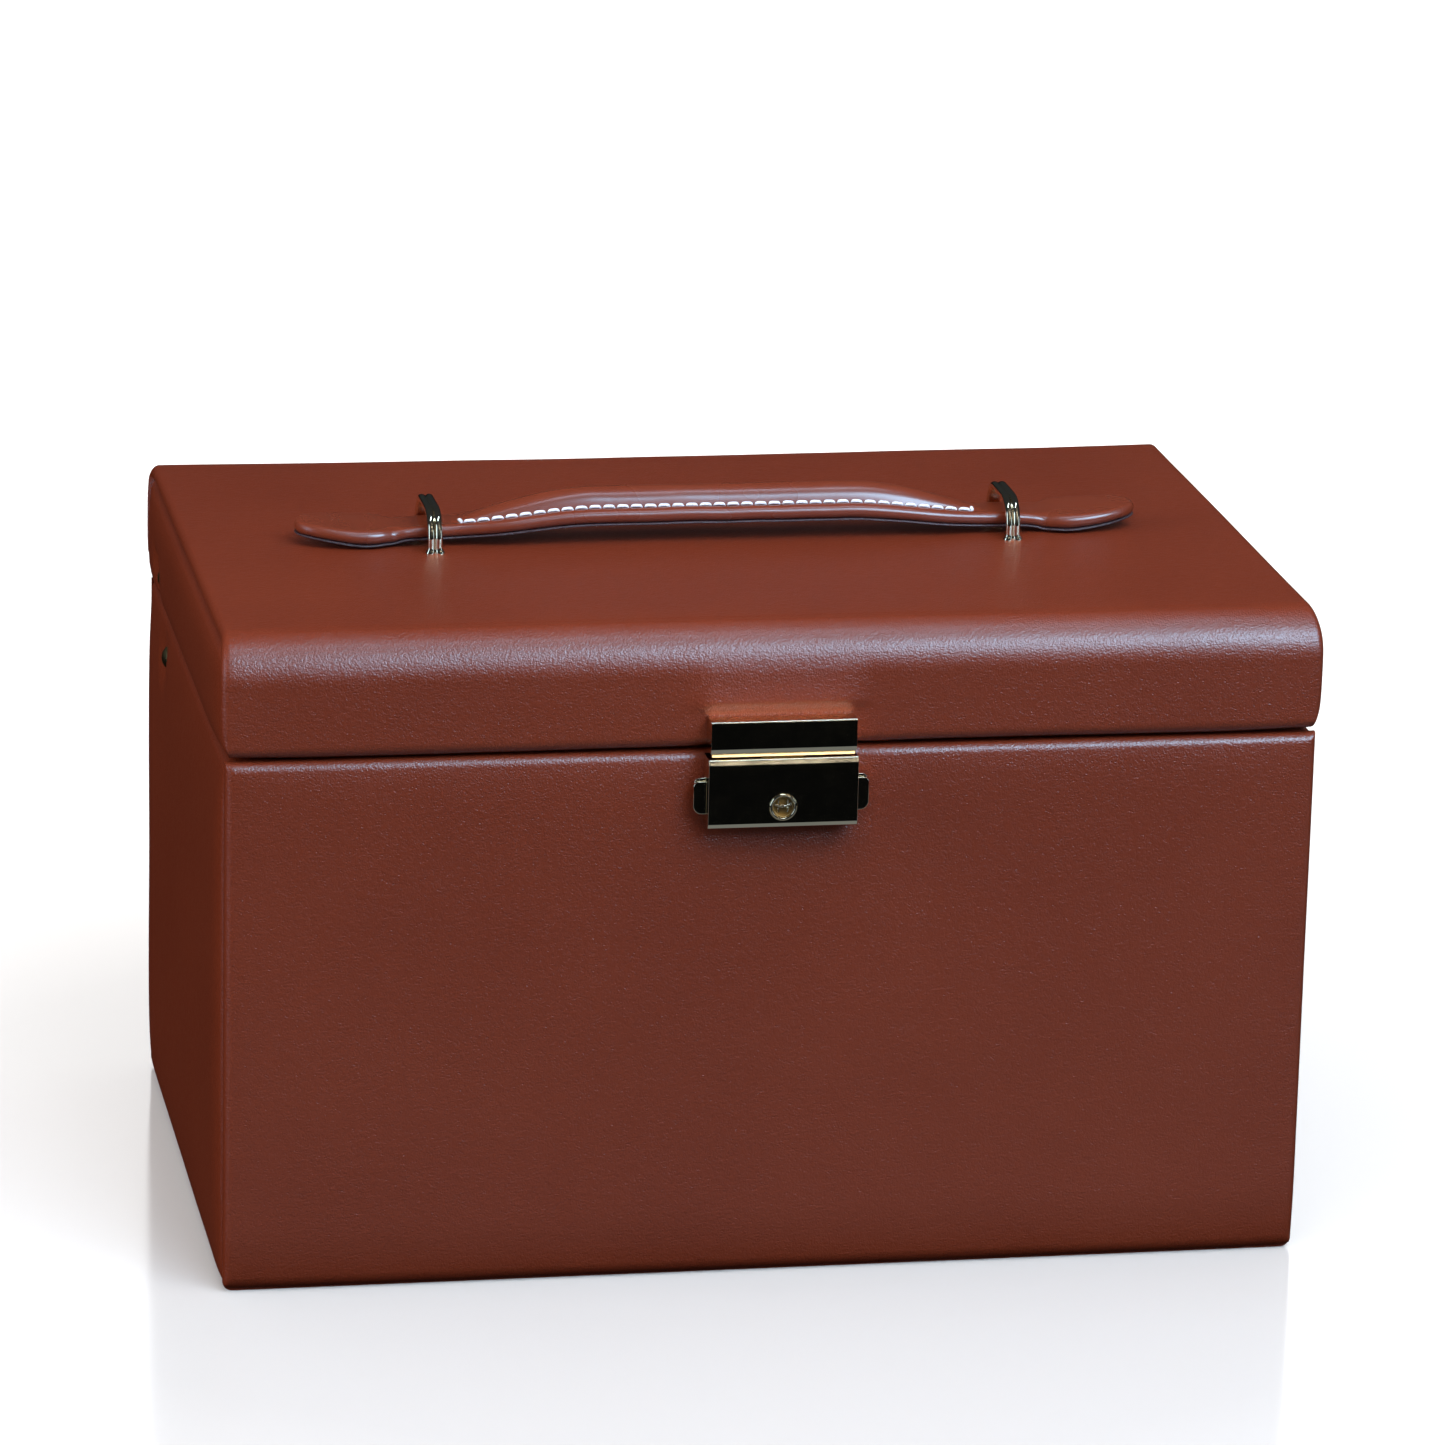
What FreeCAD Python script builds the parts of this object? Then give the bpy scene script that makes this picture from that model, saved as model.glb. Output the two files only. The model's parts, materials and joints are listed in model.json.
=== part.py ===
"""Leather jewellery case: padded shell with a lock, lid stays, a carrying strap and a lift-out tray.

Frame: millimetres, origin at the centre of the footprint on the surface, +X right, -Y front, +Z up.
"""
import FreeCAD, Part
import os
import re

import Sketcher

DIMENSIONS = [
    ("case_width", 260, "outside width of the case"),
    ("case_depth", 170, "outside depth of the case"),
    ("case_height", 160, "outside height of the closed case, without the handle"),
    ("seam_height", 131, "height of the middle of the gap between base and lid"),
    ("seam_gap", 1.2, "gap between base and lid"),
    ("skin_thick", 3, "leather with the foam under it"),
    ("board_thick", 5, "fibre board"),
    ("turn_thick", 0.6, "leather folded over the rims, and the lining cloth"),
    ("cover_thick", 1, "bottom cover"),
    ("floor_pad", 2, "padded floor lining"),
    ("edge_round", 2.2, "rounding of the vertical and bottom edges"),
    ("rim_round", 2.5, "rounding of the rims at the seam"),
    ("front_round", 11, "rounding of the lid's top front edge"),
    ("back_round", 4, "rounding of the lid's top back edge"),
    ("board_round", 4.5, "rounding of the boards under the lid's top front edge"),
    ("hinge_reach", 1, "hinge axis behind the back of the case"),
    ("hinge_spread", 140, "distance between the two hinges"),
    ("hinge_long", 40, "length of a hinge"),
    ("knuckle_count", 5, "knuckles of a hinge, both leaves together"),
    ("leaf_set", 4.3, "front edge of a hinge leaf from the outer face of the board"),
    ("screw_inset", 5, "hinge screws from the back face of the case"),
    ("leaf_thick", 0.4, "hinge leaf"),
    ("leaf_deep", 5.7, "depth of a hinge leaf, up to its knuckles"),
    ("knuckle_radius", 1.9, "outside of the hinge knuckles"),
    ("knuckle_gap", 0.2, "gap between knuckles along the pin"),
    ("pin_radius", 0.9, "hinge pin"),
    ("pin_play", 0.05, "radial clearance of a turning pin"),
    ("pin_head_high", 0.6, "height of a hinge pin's head"),
    ("pin_head_extra", 0.5, "how far a hinge pin's head stands out round its shank"),
    ("screw_radius", 0.6, "hinge screw shank"),
    ("screw_head", 1.2, "hinge screw head radius"),
    ("screw_long", 6, "hinge screw length"),
    ("stay_lid_y", 53, "stay pivot on the lid"),
    ("stay_lid_z", 138.3, "height of the stay pivot on the lid"),
    ("stay_base_y", 43.2, "stay pivot on the base"),
    ("stay_base_z", 120.4, "height of the stay pivot on the base"),
    ("link_thick", 1, "stay link thickness"),
    ("link_wide", 7, "stay link width"),
    ("link_gap", 0.3, "gap between the stay links, and between a link and the lining"),
    ("rivet_radius", 1.5, "stay rivet shank"),
    ("rivet_play", 0.4, "extra clearance at the stay's middle rivet"),
    ("rivet_head", 2.6, "inner head radius of a stay rivet"),
    ("rivet_inner", 0.6, "inner head height of a stay rivet"),
    ("stack_gap", 0.1, "gap between the parts stacked on a stay rivet"),
    ("dome_radius", 2.9, "dome radius of a stay rivet"),
    ("dome_high", 1.5, "dome height of a stay rivet"),
    ("lock_wide", 35.6, "lock housing width"),
    ("lock_low", 113.5, "bottom of the lock housing"),
    ("lock_high", 130.1, "top of the lock housing"),
    ("lock_deep", 7, "how far the lock housing stands out"),
    ("lock_wall", 1.2, "wall of the lock housing"),
    ("lock_bevel", 0.8, "bevel of the lock housing's front edges"),
    ("plate_thick", 1, "lock back plate"),
    ("plate_gap", 0.1, "clearance of the back plate in the housing"),
    ("key_height", 118.4, "height of the keyhole"),
    ("ring_proud", 0.3, "how far the keyhole ring stands out of the lock's face"),
    ("ring_radius", 3.25, "outside of the keyhole ring"),
    ("barrel_radius", 2.3, "lock cylinder"),
    ("barrel_set", 0.3, "how far the lock cylinder lies behind the lock's face"),
    ("keyway_half", 1, "half width of the two openings in the lock cylinder"),
    ("keyway_bar", 0.35, "half height of the bar between them"),
    ("keyway_far", 1.9, "outer edges of the openings from the cylinder's axis"),
    ("keyway_deep", 3, "depth of the openings"),
    ("cam_half", 0.8, "half width of the lock cylinder's cam"),
    ("cam_thick", 1, "cam thickness"),
    ("cam_reach", 3.2, "reach of the cam from the cylinder's axis"),
    ("tab_low", 116.4, "bottom of the release tabs"),
    ("tab_high", 125, "top of the release tabs"),
    ("tab_out", 20.9, "outer end of a release tab from the middle"),
    ("tab_in", 11.5, "inner end of a release tab from the middle"),
    ("tab_thick", 1.8, "release tab thickness"),
    ("tab_round", 1.44, "rounding of a release tab's outer corners"),
    ("slot_play", 0.3, "clearance of the tabs and the tongue in the housing"),
    ("lug_spread", 5, "inner face of the spring lugs from the middle"),
    ("lug_thick", 0.6, "spring lug thickness"),
    ("lug_half", 1.5, "half height of a spring lug"),
    ("spring_drop", 0.7, "tab springs below the middle of the tabs"),
    ("spring_radius", 1.1, "tab spring, to the middle of its wire"),
    ("spring_wire", 0.18, "tab spring wire radius"),
    ("spring_turns", 6, "turns of a tab spring"),
    ("hasp_wide", 34.6, "hasp plate width"),
    ("hasp_low", 131.4, "bottom of the hasp plate"),
    ("hasp_high", 139.2, "top of the hasp plate"),
    ("hasp_deep", 6.5, "how far the hasp plate stands out"),
    ("tongue_wide", 10, "tongue width"),
    ("tongue_thick", 2, "tongue thickness"),
    ("tongue_low", 122, "lower end of the tongue"),
    ("tongue_in", 2.1, "depth of the tongue in the hasp plate"),
    ("catch_deep", 1.5, "depth of the catch notches in the tongue's edges"),
    ("catch_low", 2, "lower end of the catch notches above the tongue's end"),
    ("catch_high", 4.5, "upper end of the catch notches above the tongue's end"),
    ("clinch_spot", 11.8, "rivets that hold the hasp and the lock, from the middle"),
    ("clinch_radius", 1.2, "shank radius of those rivets"),
    ("clinch_head", 2.2, "inner head radius of those rivets"),
    ("clinch_high", 0.8, "inner head height of those rivets"),
    ("loop_spread", 142.4, "distance between the handle loops"),
    ("loop_half", 12.3, "outside half width of a handle loop"),
    ("loop_high", 10.6, "height of a handle loop"),
    ("loop_thick", 2.2, "loop bar thickness"),
    ("loop_wide", 4.8, "loop bar width"),
    ("loop_corner", 7.5, "outside corner radius of a handle loop"),
    ("leg_radius", 1.1, "loop leg through the lid"),
    ("nut_radius", 3, "loop nut"),
    ("nut_high", 1.8, "loop nut height"),
    ("strap_long", 208, "strap length"),
    ("strap_wide", 16, "strap width"),
    ("neck_wide", 11, "strap width in the loops"),
    ("neck_from", 66, "inner end of a neck from the middle"),
    ("neck_to", 80, "outer end of a neck from the middle"),
    ("strap_lift", 1.8, "gap between the lid and the strap's ends"),
    ("strap_thick", 4.2, "strap thickness"),
    ("strap_bow", 2.8, "rise of the strap's middle"),
    ("bow_half", 46, "half length of the risen middle"),
    ("pad_wide", 9, "raised pad width"),
    ("pad_high", 4, "raised pad height"),
    ("pad_shoulder", 3, "height of the raised pad at its shoulders"),
    ("tray_half_x", 117.5, "tray half width"),
    ("tray_half_y", 75.5, "tray half depth"),
    ("tray_low", 92.2, "underside of the tray"),
    ("tray_high", 128.2, "top of the tray walls"),
    ("tray_floor_thick", 2, "tray floor"),
    ("tray_wall", 3, "tray wall"),
    ("ledge_high", 6, "tray ledge height"),
    ("ledge_wide", 6, "tray ledge width"),
    ("ledge_half", 70, "tray ledge half length"),
    ("divider_thick", 2, "divider thickness"),
    ("divider_high", 60, "height of the dividers in the base"),
    ("cross_spot", 43.3, "cross dividers in the base, from the middle"),
    ("roll_radius", 6, "ring roll"),
    ("roll_count", 6, "number of ring rolls"),
    ("roll_long", 92, "ring roll length"),
    ("roll_play", 0.5, "room at each end of a ring roll"),
    ("notch_half", 16, "half width of the finger notches in the tray's ends"),
    ("notch_deep", 12, "depth of the finger notches"),
    ("mirror_half_x", 95, "mirror half width"),
    ("mirror_half_y", 55, "mirror half depth"),
    ("mirror_thick", 2, "mirror glass"),
    ("panel_half_x", 116, "mirror panel half width"),
    ("panel_half_y", 72, "mirror panel half depth"),
    ("panel_thick", 2.5, "mirror panel"),
]

# Places worked out from the driving dimensions, as expressions.
HALF_X = "(case_width / 2)"
HALF_Y = "(case_depth / 2)"
BOARD_X = "(case_width / 2 - skin_thick)"
BOARD_Y = "(case_depth / 2 - skin_thick)"
INNER_X = "(case_width / 2 - skin_thick - board_thick)"
INNER_Y = "(case_depth / 2 - skin_thick - board_thick)"
LINED_X = "(case_width / 2 - skin_thick - board_thick - turn_thick)"
LINED_Y = "(case_depth / 2 - skin_thick - board_thick - turn_thick)"
BASE_RIM = "(seam_height - seam_gap / 2)"
LID_RIM = "(seam_height + seam_gap / 2)"
BASE_BOARD_TOP = "(seam_height - seam_gap / 2 - turn_thick)"
LID_BOARD_LOW = "(seam_height + seam_gap / 2 + turn_thick)"
FLOOR_TOP = "(cover_thick + board_thick)"
LINED_FLOOR = "(cover_thick + board_thick + floor_pad)"
LID_BOARD_TOP = "(case_height - skin_thick)"
LID_CEILING = "(case_height - skin_thick - board_thick)"
HINGE_Y = "(case_depth / 2 + hinge_reach)"
LOWER_LINK_X = "(case_width / 2 - skin_thick - board_thick - turn_thick - link_gap)"
UPPER_LINK_X = "(case_width / 2 - skin_thick - board_thick - turn_thick - 2 * link_gap - link_thick)"
STAY_MID_Y = "(stay_base_y + stay_lid_y - case_depth / 2 - hinge_reach)"
STAY_MID_Z = "(stay_base_z + stay_lid_z - seam_height)"
TONGUE_Y = "(-case_depth / 2 - lock_deep / 2)"
WALL_THICK = "(skin_thick + board_thick + turn_thick)"
SCREW_Y = "(case_depth / 2 - screw_inset)"
SCREW_LOW_Z = "(seam_height - seam_gap / 2 - screw_long)"
LOCK_RIVET_Z = "((lock_low + lock_high) / 2)"
HASP_RIVET_Z = "((hasp_low + hasp_high + clinch_radius) / 2)"
SPRING_Z = "((tab_low + tab_high) / 2 - spring_drop)"
LEG_Y = "(loop_half - loop_thick / 2)"

SIDES = (("left", -1), ("right", 1))
ENDS = (("front", -1), ("back", 1))
TOUCH = 1e-4
TURNED = {
    "x": FreeCAD.Rotation(FreeCAD.Vector(0, 1, 0), 90),
    "y": FreeCAD.Rotation(FreeCAD.Vector(1, 0, 0), -90),
    "z": FreeCAD.Rotation(),
}

doc = FreeCAD.newDocument("JewelleryCase")
dims = doc.addObject("Spreadsheet::Sheet", "Dims")
for row, (alias, number, meaning) in enumerate(DIMENSIONS, start=1):
    dims.set(f"A{row}", meaning)
    dims.set(f"B{row}", str(number))
    dims.setAlias(f"B{row}", alias)
doc.recompute()

nodes = []


def size(alias):
    """The number in a named cell."""
    return float(dims.get(alias))


def bound(text):
    """The expression with each dimension's name pointing at its cell."""
    return re.sub(r"[a-z]+(?:_[a-z]+)+", lambda word: "Dims." + word.group(0), text)


def keep(item, label):
    """Name a finished sub-part, which also names its file."""
    item.Label = label
    nodes.append(item)
    return item


def make(kind, name, body=None):
    """A new object in the document, or a new feature in a body."""
    if body is None:
        return doc.addObject("Part::" + kind, name)
    return body.newObject("PartDesign::" + kind, name)


def place(item, x, y, z):
    """Tie an object's position to the sheet."""
    for axis, text in zip("xyz", (x, y, z)):
        item.setExpression("Placement.Base." + axis, bound(text))


def block(name, x, y, z, body=None, cutting=False):
    """A box whose sides run between pairs of expressions."""
    kind = "Box"
    if body is not None:
        kind = "SubtractiveBox" if cutting else "AdditiveBox"
    item = make(kind, name, body)
    for side, (low, high) in zip(("Length", "Width", "Height"), (x, y, z)):
        item.setExpression(side, bound(f"({high}) - ({low})"))
    place(item, x[0], y[0], z[0])
    return item


def rod(name, axis, start, radius, length, body=None, cutting=False):
    """A cylinder from a point along the positive direction of an axis."""
    kind = "Cylinder"
    if body is not None:
        kind = "SubtractiveCylinder" if cutting else "AdditiveCylinder"
    item = make(kind, name, body)
    item.Placement = FreeCAD.Placement(FreeCAD.Vector(), TURNED[axis])
    item.setExpression("Radius", bound(radius))
    item.setExpression("Height", bound(length))
    place(item, *start)
    return item


def taper(name, start, low_radius, high_radius, height):
    """A cone standing on a point."""
    item = make("Cone", name)
    item.setExpression("Radius1", bound(low_radius))
    item.setExpression("Radius2", bound(high_radius))
    item.setExpression("Height", bound(height))
    place(item, *start)
    return item


def fused(name, items):
    """Several solids joined in one."""
    item = make("MultiFuse", name)
    item.Shapes = items
    return item


def group(name, items):
    """Separate solids that share one node."""
    item = make("Compound", name)
    item.Links = items
    return item


def without(name, item, tools):
    """A solid with other solids cut out of it."""
    result = make("Cut", name)
    result.Base = item
    result.Tool = tools[0] if len(tools) == 1 else fused(name + "_tools", tools)
    return result


def new_body(name):
    """An empty PartDesign body."""
    return doc.addObject("PartDesign::Body", name)


def lies(edge, **where):
    """Whether an edge lies wholly at the given coordinates."""
    box = edge.BoundBox
    limits = {"x": (box.XMin, box.XMax), "y": (box.YMin, box.YMax), "z": (box.ZMin, box.ZMax)}
    return all(abs(limit - value) < TOUCH for axis, value in where.items() for limit in limits[axis])


def eased(body, feature, kind, amount, chosen):
    """Round or bevel the edges of a feature that the test picks."""
    doc.recompute()
    edges = enumerate(feature.Shape.Edges, start=1)
    names = [f"Edge{number}" for number, edge in edges if chosen(edge)]
    item = make(kind, body.Name + "_" + kind, body)
    item.Base = (feature, names)
    item.setExpression("Radius" if kind == "Fillet" else "Size", bound(amount))
    return item


def outline(body, role, points, name):
    """A sketch on one of the body's planes: a closed polygon with its corners tied to the sheet."""
    sketch = body.newObject("Sketcher::SketchObject", name)
    plane = next(item for item in body.Origin.OriginFeatures if item.Role == role)
    sketch.AttachmentSupport = [(plane, "")]
    sketch.MapMode = "FlatFace"
    count = len(points)
    rough = [FreeCAD.Vector(1 + index, index * index, 0) for index in range(count)]
    for index in range(count):
        sketch.addGeometry(Part.LineSegment(rough[index], rough[(index + 1) % count]), False)
    for index in range(count):
        sketch.addConstraint(Sketcher.Constraint("Coincident", index, 2, (index + 1) % count, 1))
    for index, corner in enumerate(points):
        for direction, text in zip(("DistanceX", "DistanceY"), corner):
            number = sketch.addConstraint(Sketcher.Constraint(direction, -1, 1, index, 1, 1.0))
            sketch.setExpression(f"Constraints[{number}]", bound(text))
    return sketch


def padded(body, sketch, length, name):
    """A sketch thickened equally to both sides."""
    pad = make("Pad", name, body)
    pad.Profile = sketch
    pad.setExpression("Length", bound(length))
    pad.Midplane = True
    return pad


def mirrored(sign, low, high):
    """A pair of limits on the positive side of the middle, or their mirror image on the other."""
    if sign > 0:
        return (low, high)
    return (f"-({high})", f"-({low})")


# --- Shell boards -------------------------------------------------------------------------------


SCREW_STEPS = (-1, 0, 1)


def clinch_rods(name, height, length=WALL_THICK):
    """Two rivet shanks through the front wall at a height."""
    return [
        rod(f"{name}_{side}", "y", (f"{sign} * clinch_spot", f"-{HALF_Y}", height), "clinch_radius", length)
        for side, sign in SIDES
    ]


def stay_hole(name, sign, y, z):
    """The space of a stay rivet's shank in a side wall."""
    low = LINED_X if sign > 0 else f"-{HALF_X}"
    return rod(name, "x", (low, y, z), "rivet_radius", f"{HALF_X} - {LINED_X}")


def screw_spots():
    """Places of the hinge screws along X."""
    middles = [f"{sign} * hinge_spread / 2" for _, sign in SIDES]
    return [f"{middle} + {step} * hinge_long / 3" for middle in middles for step in SCREW_STEPS]


def screw_holes(name, low):
    """The space of the hinge screws' shanks below or above the leaves."""
    return [
        rod(f"{name}_{number}", "z", (spot, SCREW_Y, low), "screw_radius", "screw_long")
        for number, spot in enumerate(screw_spots())
    ]


def boards():
    """The fibre boards of the base and the lid."""
    base_z = ("cover_thick", BASE_BOARD_TOP)
    lid_z = (LID_BOARD_LOW, LID_BOARD_TOP)
    full_x = (f"-{BOARD_X}", BOARD_X)
    front_y = (f"-{BOARD_Y}", f"-{INNER_Y}")
    back_y = (INNER_Y, BOARD_Y)
    inside_y = (f"-{INNER_Y}", INNER_Y)
    inside_x = (f"-{INNER_X}", INNER_X)

    keep(block("floor_board", inside_x, inside_y, ("cover_thick", FLOOR_TOP)), "base_floor_board")
    front = block("front_blank", full_x, front_y, base_z)
    keep(without("front_board", front, clinch_rods("front_hole", LOCK_RIVET_Z)), "base_front_board")
    back = block("back_blank", full_x, back_y, base_z)
    keep(without("back_board", back, screw_holes("back_hole", SCREW_LOW_Z)), "base_back_board")
    for side, sign in SIDES:
        wall_x = mirrored(sign, INNER_X, BOARD_X)
        wall = block(f"{side}_blank", wall_x, inside_y, base_z)
        hole = stay_hole(f"{side}_hole", sign, "stay_base_y", "stay_base_z")
        keep(without(f"{side}_board", wall, [hole]), f"base_{side}_board")
        wall = block(f"lid_{side}_blank", wall_x, inside_y, lid_z)
        hole = stay_hole(f"lid_{side}_hole", sign, "stay_lid_y", "stay_lid_z")
        keep(without(f"lid_{side}_wall", wall, [hole]), f"lid_{side}_board")

    body = new_body("lid_front_body")
    wall = block("lid_front_blank", full_x, front_y, lid_z, body)
    top = size("case_height") - size("skin_thick")
    front = size("skin_thick") - size("case_depth") / 2
    eased(body, wall, "Fillet", "board_round", lambda edge: lies(edge, y=front, z=top))
    for side, sign in SIDES:
        start = (f"{sign} * clinch_spot", f"-{BOARD_Y}", HASP_RIVET_Z)
        rod(f"hasp_hole_{side}", "y", start, "clinch_radius", "board_thick", body, cutting=True)
    keep(body, "lid_front_board")
    back = block("lid_back_blank", full_x, back_y, lid_z)
    keep(without("lid_back_wall", back, screw_holes("lid_back_hole", LID_RIM)), "lid_back_board")

    body = new_body("lid_top_body")
    block("lid_top_blank", inside_x, inside_y, (LID_CEILING, LID_BOARD_TOP), body)
    for side, sign in SIDES:
        for end, way in ENDS:
            spot = (f"{sign} * loop_spread / 2", f"{way} * {LEG_Y}")
            start = (*spot, LID_CEILING)
            rod(f"leg_hole_{side}_{end}", "z", start, "leg_radius", "board_thick", body, cutting=True)
            rod(f"nut_hole_{side}_{end}", "z", start, "nut_radius", "nut_high", body, cutting=True)
    keep(body, "lid_top_board")


# --- Leather ------------------------------------------------------------------------------------


def base_leather():
    """Padded leather on the base, folded over its rim."""
    half_x = size("case_width") / 2
    half_y = size("case_depth") / 2
    rim = size("seam_height") - size("seam_gap") / 2
    full_x = (f"-{HALF_X}", HALF_X)
    board_x = (f"-{BOARD_X}", BOARD_X)
    for end, way in ENDS:
        body = new_body(f"base_{end}_skin")
        outer = (f"-{HALF_Y}", f"-{BOARD_Y}") if way < 0 else (BOARD_Y, HALF_Y)
        fold = (f"-{BOARD_Y}", f"-{INNER_Y}") if way < 0 else (INNER_Y, BOARD_Y)
        block(f"{end}_skin", full_x, outer, ("0", BASE_RIM), body)
        turned = block(f"{end}_turn", board_x, fold, (BASE_BOARD_TOP, BASE_RIM), body)
        rounded = eased(
            body, turned, "Fillet", "edge_round",
            lambda edge: lies(edge, x=half_x, y=way * half_y) or lies(edge, x=-half_x, y=way * half_y),
        )
        eased(body, rounded, "Fillet", "rim_round", lambda edge: lies(edge, y=way * half_y, z=rim))
        if way < 0:
            for side, sign in SIDES:
                start = (f"{sign} * clinch_spot", f"-{HALF_Y}", LOCK_RIVET_Z)
                rod(f"lock_hole_{side}", "y", start, "clinch_radius", "skin_thick", body, cutting=True)
        else:
            for number, spot in enumerate(screw_spots()):
                start = (spot, SCREW_Y, BASE_BOARD_TOP)
                rod(f"low_screw_{number}", "z", start, "screw_radius", "turn_thick", body, cutting=True)
        keep(body, f"base_{end}_leather")
    for side, sign in SIDES:
        body = new_body(f"base_{side}_skin")
        skin_x = mirrored(sign, BOARD_X, HALF_X)
        fold_x = mirrored(sign, INNER_X, BOARD_X)
        block(f"{side}_skin", skin_x, (f"-{BOARD_Y}", BOARD_Y), ("0", BASE_RIM), body)
        turned = block(
            f"{side}_turn", fold_x, (f"-{INNER_Y}", INNER_Y), (BASE_BOARD_TOP, BASE_RIM), body
        )
        eased(body, turned, "Fillet", "rim_round", lambda edge: lies(edge, x=sign * half_x, z=rim))
        start = (BOARD_X if sign > 0 else f"-{HALF_X}", "stay_base_y", "stay_base_z")
        rod(f"{side}_rivet_hole", "x", start, "rivet_radius", "skin_thick", body, cutting=True)
        keep(body, f"base_{side}_leather")
    keep(
        block("bottom_cover", (f"-{BOARD_X}", BOARD_X), (f"-{BOARD_Y}", BOARD_Y), ("0", "cover_thick")),
        "base_bottom_cover",
    )


def lid_leather():
    """One padded wrap over the lid's front, top and back, and a pad on each side."""
    half_x = size("case_width") / 2
    half_y = size("case_depth") / 2
    board_y = half_y - size("skin_thick")
    top = size("case_height")
    board_top = top - size("skin_thick")
    rim = size("seam_height") + size("seam_gap") / 2
    body = new_body("lid_wrap")
    corners = [
        (f"-{HALF_Y}", f"{LID_RIM} + rim_round"), (f"-{HALF_Y} + rim_round", LID_RIM),
        (f"-{INNER_Y}", LID_RIM), (f"-{INNER_Y}", LID_BOARD_LOW),
        (f"-{BOARD_Y}", LID_BOARD_LOW), (f"-{BOARD_Y}", LID_BOARD_TOP), (BOARD_Y, LID_BOARD_TOP),
        (BOARD_Y, LID_BOARD_LOW), (INNER_Y, LID_BOARD_LOW), (INNER_Y, LID_RIM),
        (f"{HALF_Y} - rim_round", LID_RIM), (HALF_Y, f"{LID_RIM} + rim_round"),
        (HALF_Y, "case_height"), (f"-{HALF_Y}", "case_height"),
    ]
    sketch = outline(body, "YZ_Plane", corners, "wrap_section")
    padded(body, sketch, "case_width", "wrap_pad")
    for side, sign in SIDES:
        start = (f"{sign} * clinch_spot", f"-{HALF_Y}", HASP_RIVET_Z)
        rod(f"wrap_rivet_{side}", "y", start, "clinch_radius", "skin_thick", body, cutting=True)
        for end, way in ENDS:
            start = (f"{sign} * loop_spread / 2", f"{way} * {LEG_Y}", LID_BOARD_TOP)
            rod(f"wrap_leg_{side}_{end}", "z", start, "leg_radius", "skin_thick", body, cutting=True)
            fold = (f"-{BOARD_Y}", f"-{INNER_Y}") if way < 0 else (INNER_Y, BOARD_Y)
            block(
                f"fold_end_{side}_{end}", mirrored(sign, BOARD_X, HALF_X), fold,
                (LID_RIM, LID_BOARD_LOW), body, cutting=True,
            )
    for number, spot in enumerate(screw_spots()):
        start = (spot, SCREW_Y, LID_RIM)
        cut = rod(f"wrap_screw_{number}", "z", start, "screw_radius", "turn_thick", body, cutting=True)
    inner = eased(body, cut, "Fillet", "board_round", lambda edge: lies(edge, y=-board_y, z=board_top))
    front = eased(body, inner, "Fillet", "front_round", lambda edge: lies(edge, y=-half_y, z=top))
    eased(body, front, "Fillet", "back_round", lambda edge: lies(edge, y=half_y, z=top))
    keep(body, "lid_wrap_leather")

    for side, sign in SIDES:
        body = new_body(f"lid_{side}_skin")
        skin_x = mirrored(sign, BOARD_X, HALF_X)
        fold_x = mirrored(sign, INNER_X, BOARD_X)
        block(f"lid_{side}_pad", skin_x, (f"-{BOARD_Y}", BOARD_Y), (LID_RIM, LID_BOARD_TOP), body)
        turned = block(
            f"lid_{side}_turn", fold_x, (f"-{INNER_Y}", INNER_Y), (LID_RIM, LID_BOARD_LOW), body
        )
        corner = eased(
            body, turned, "Fillet", "board_round", lambda edge: lies(edge, y=-board_y, z=board_top)
        )
        eased(body, corner, "Fillet", "rim_round", lambda edge: lies(edge, x=sign * half_x, z=rim))
        start = (BOARD_X if sign > 0 else f"-{HALF_X}", "stay_lid_y", "stay_lid_z")
        rod(f"lid_{side}_rivet_hole", "x", start, "rivet_radius", "skin_thick", body, cutting=True)
        keep(body, f"lid_{side}_leather")


# --- Linings, dividers and mirror ---------------------------------------------------------------


def wall_lining(name, label, z, rivet_z, stay):
    """Cloth around the inside of the four walls, with holes for the rivets."""
    outer = block(name + "_outer", (f"-{INNER_X}", INNER_X), (f"-{INNER_Y}", INNER_Y), z)
    tools = [block(name + "_inner", (f"-{LINED_X}", LINED_X), (f"-{LINED_Y}", LINED_Y), z)]
    tools += clinch_rods(name + "_clinch", rivet_z)
    tools += [stay_hole(f"{name}_stay_{side}", sign, *stay) for side, sign in SIDES]
    keep(without(name, outer, tools), label)


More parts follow.
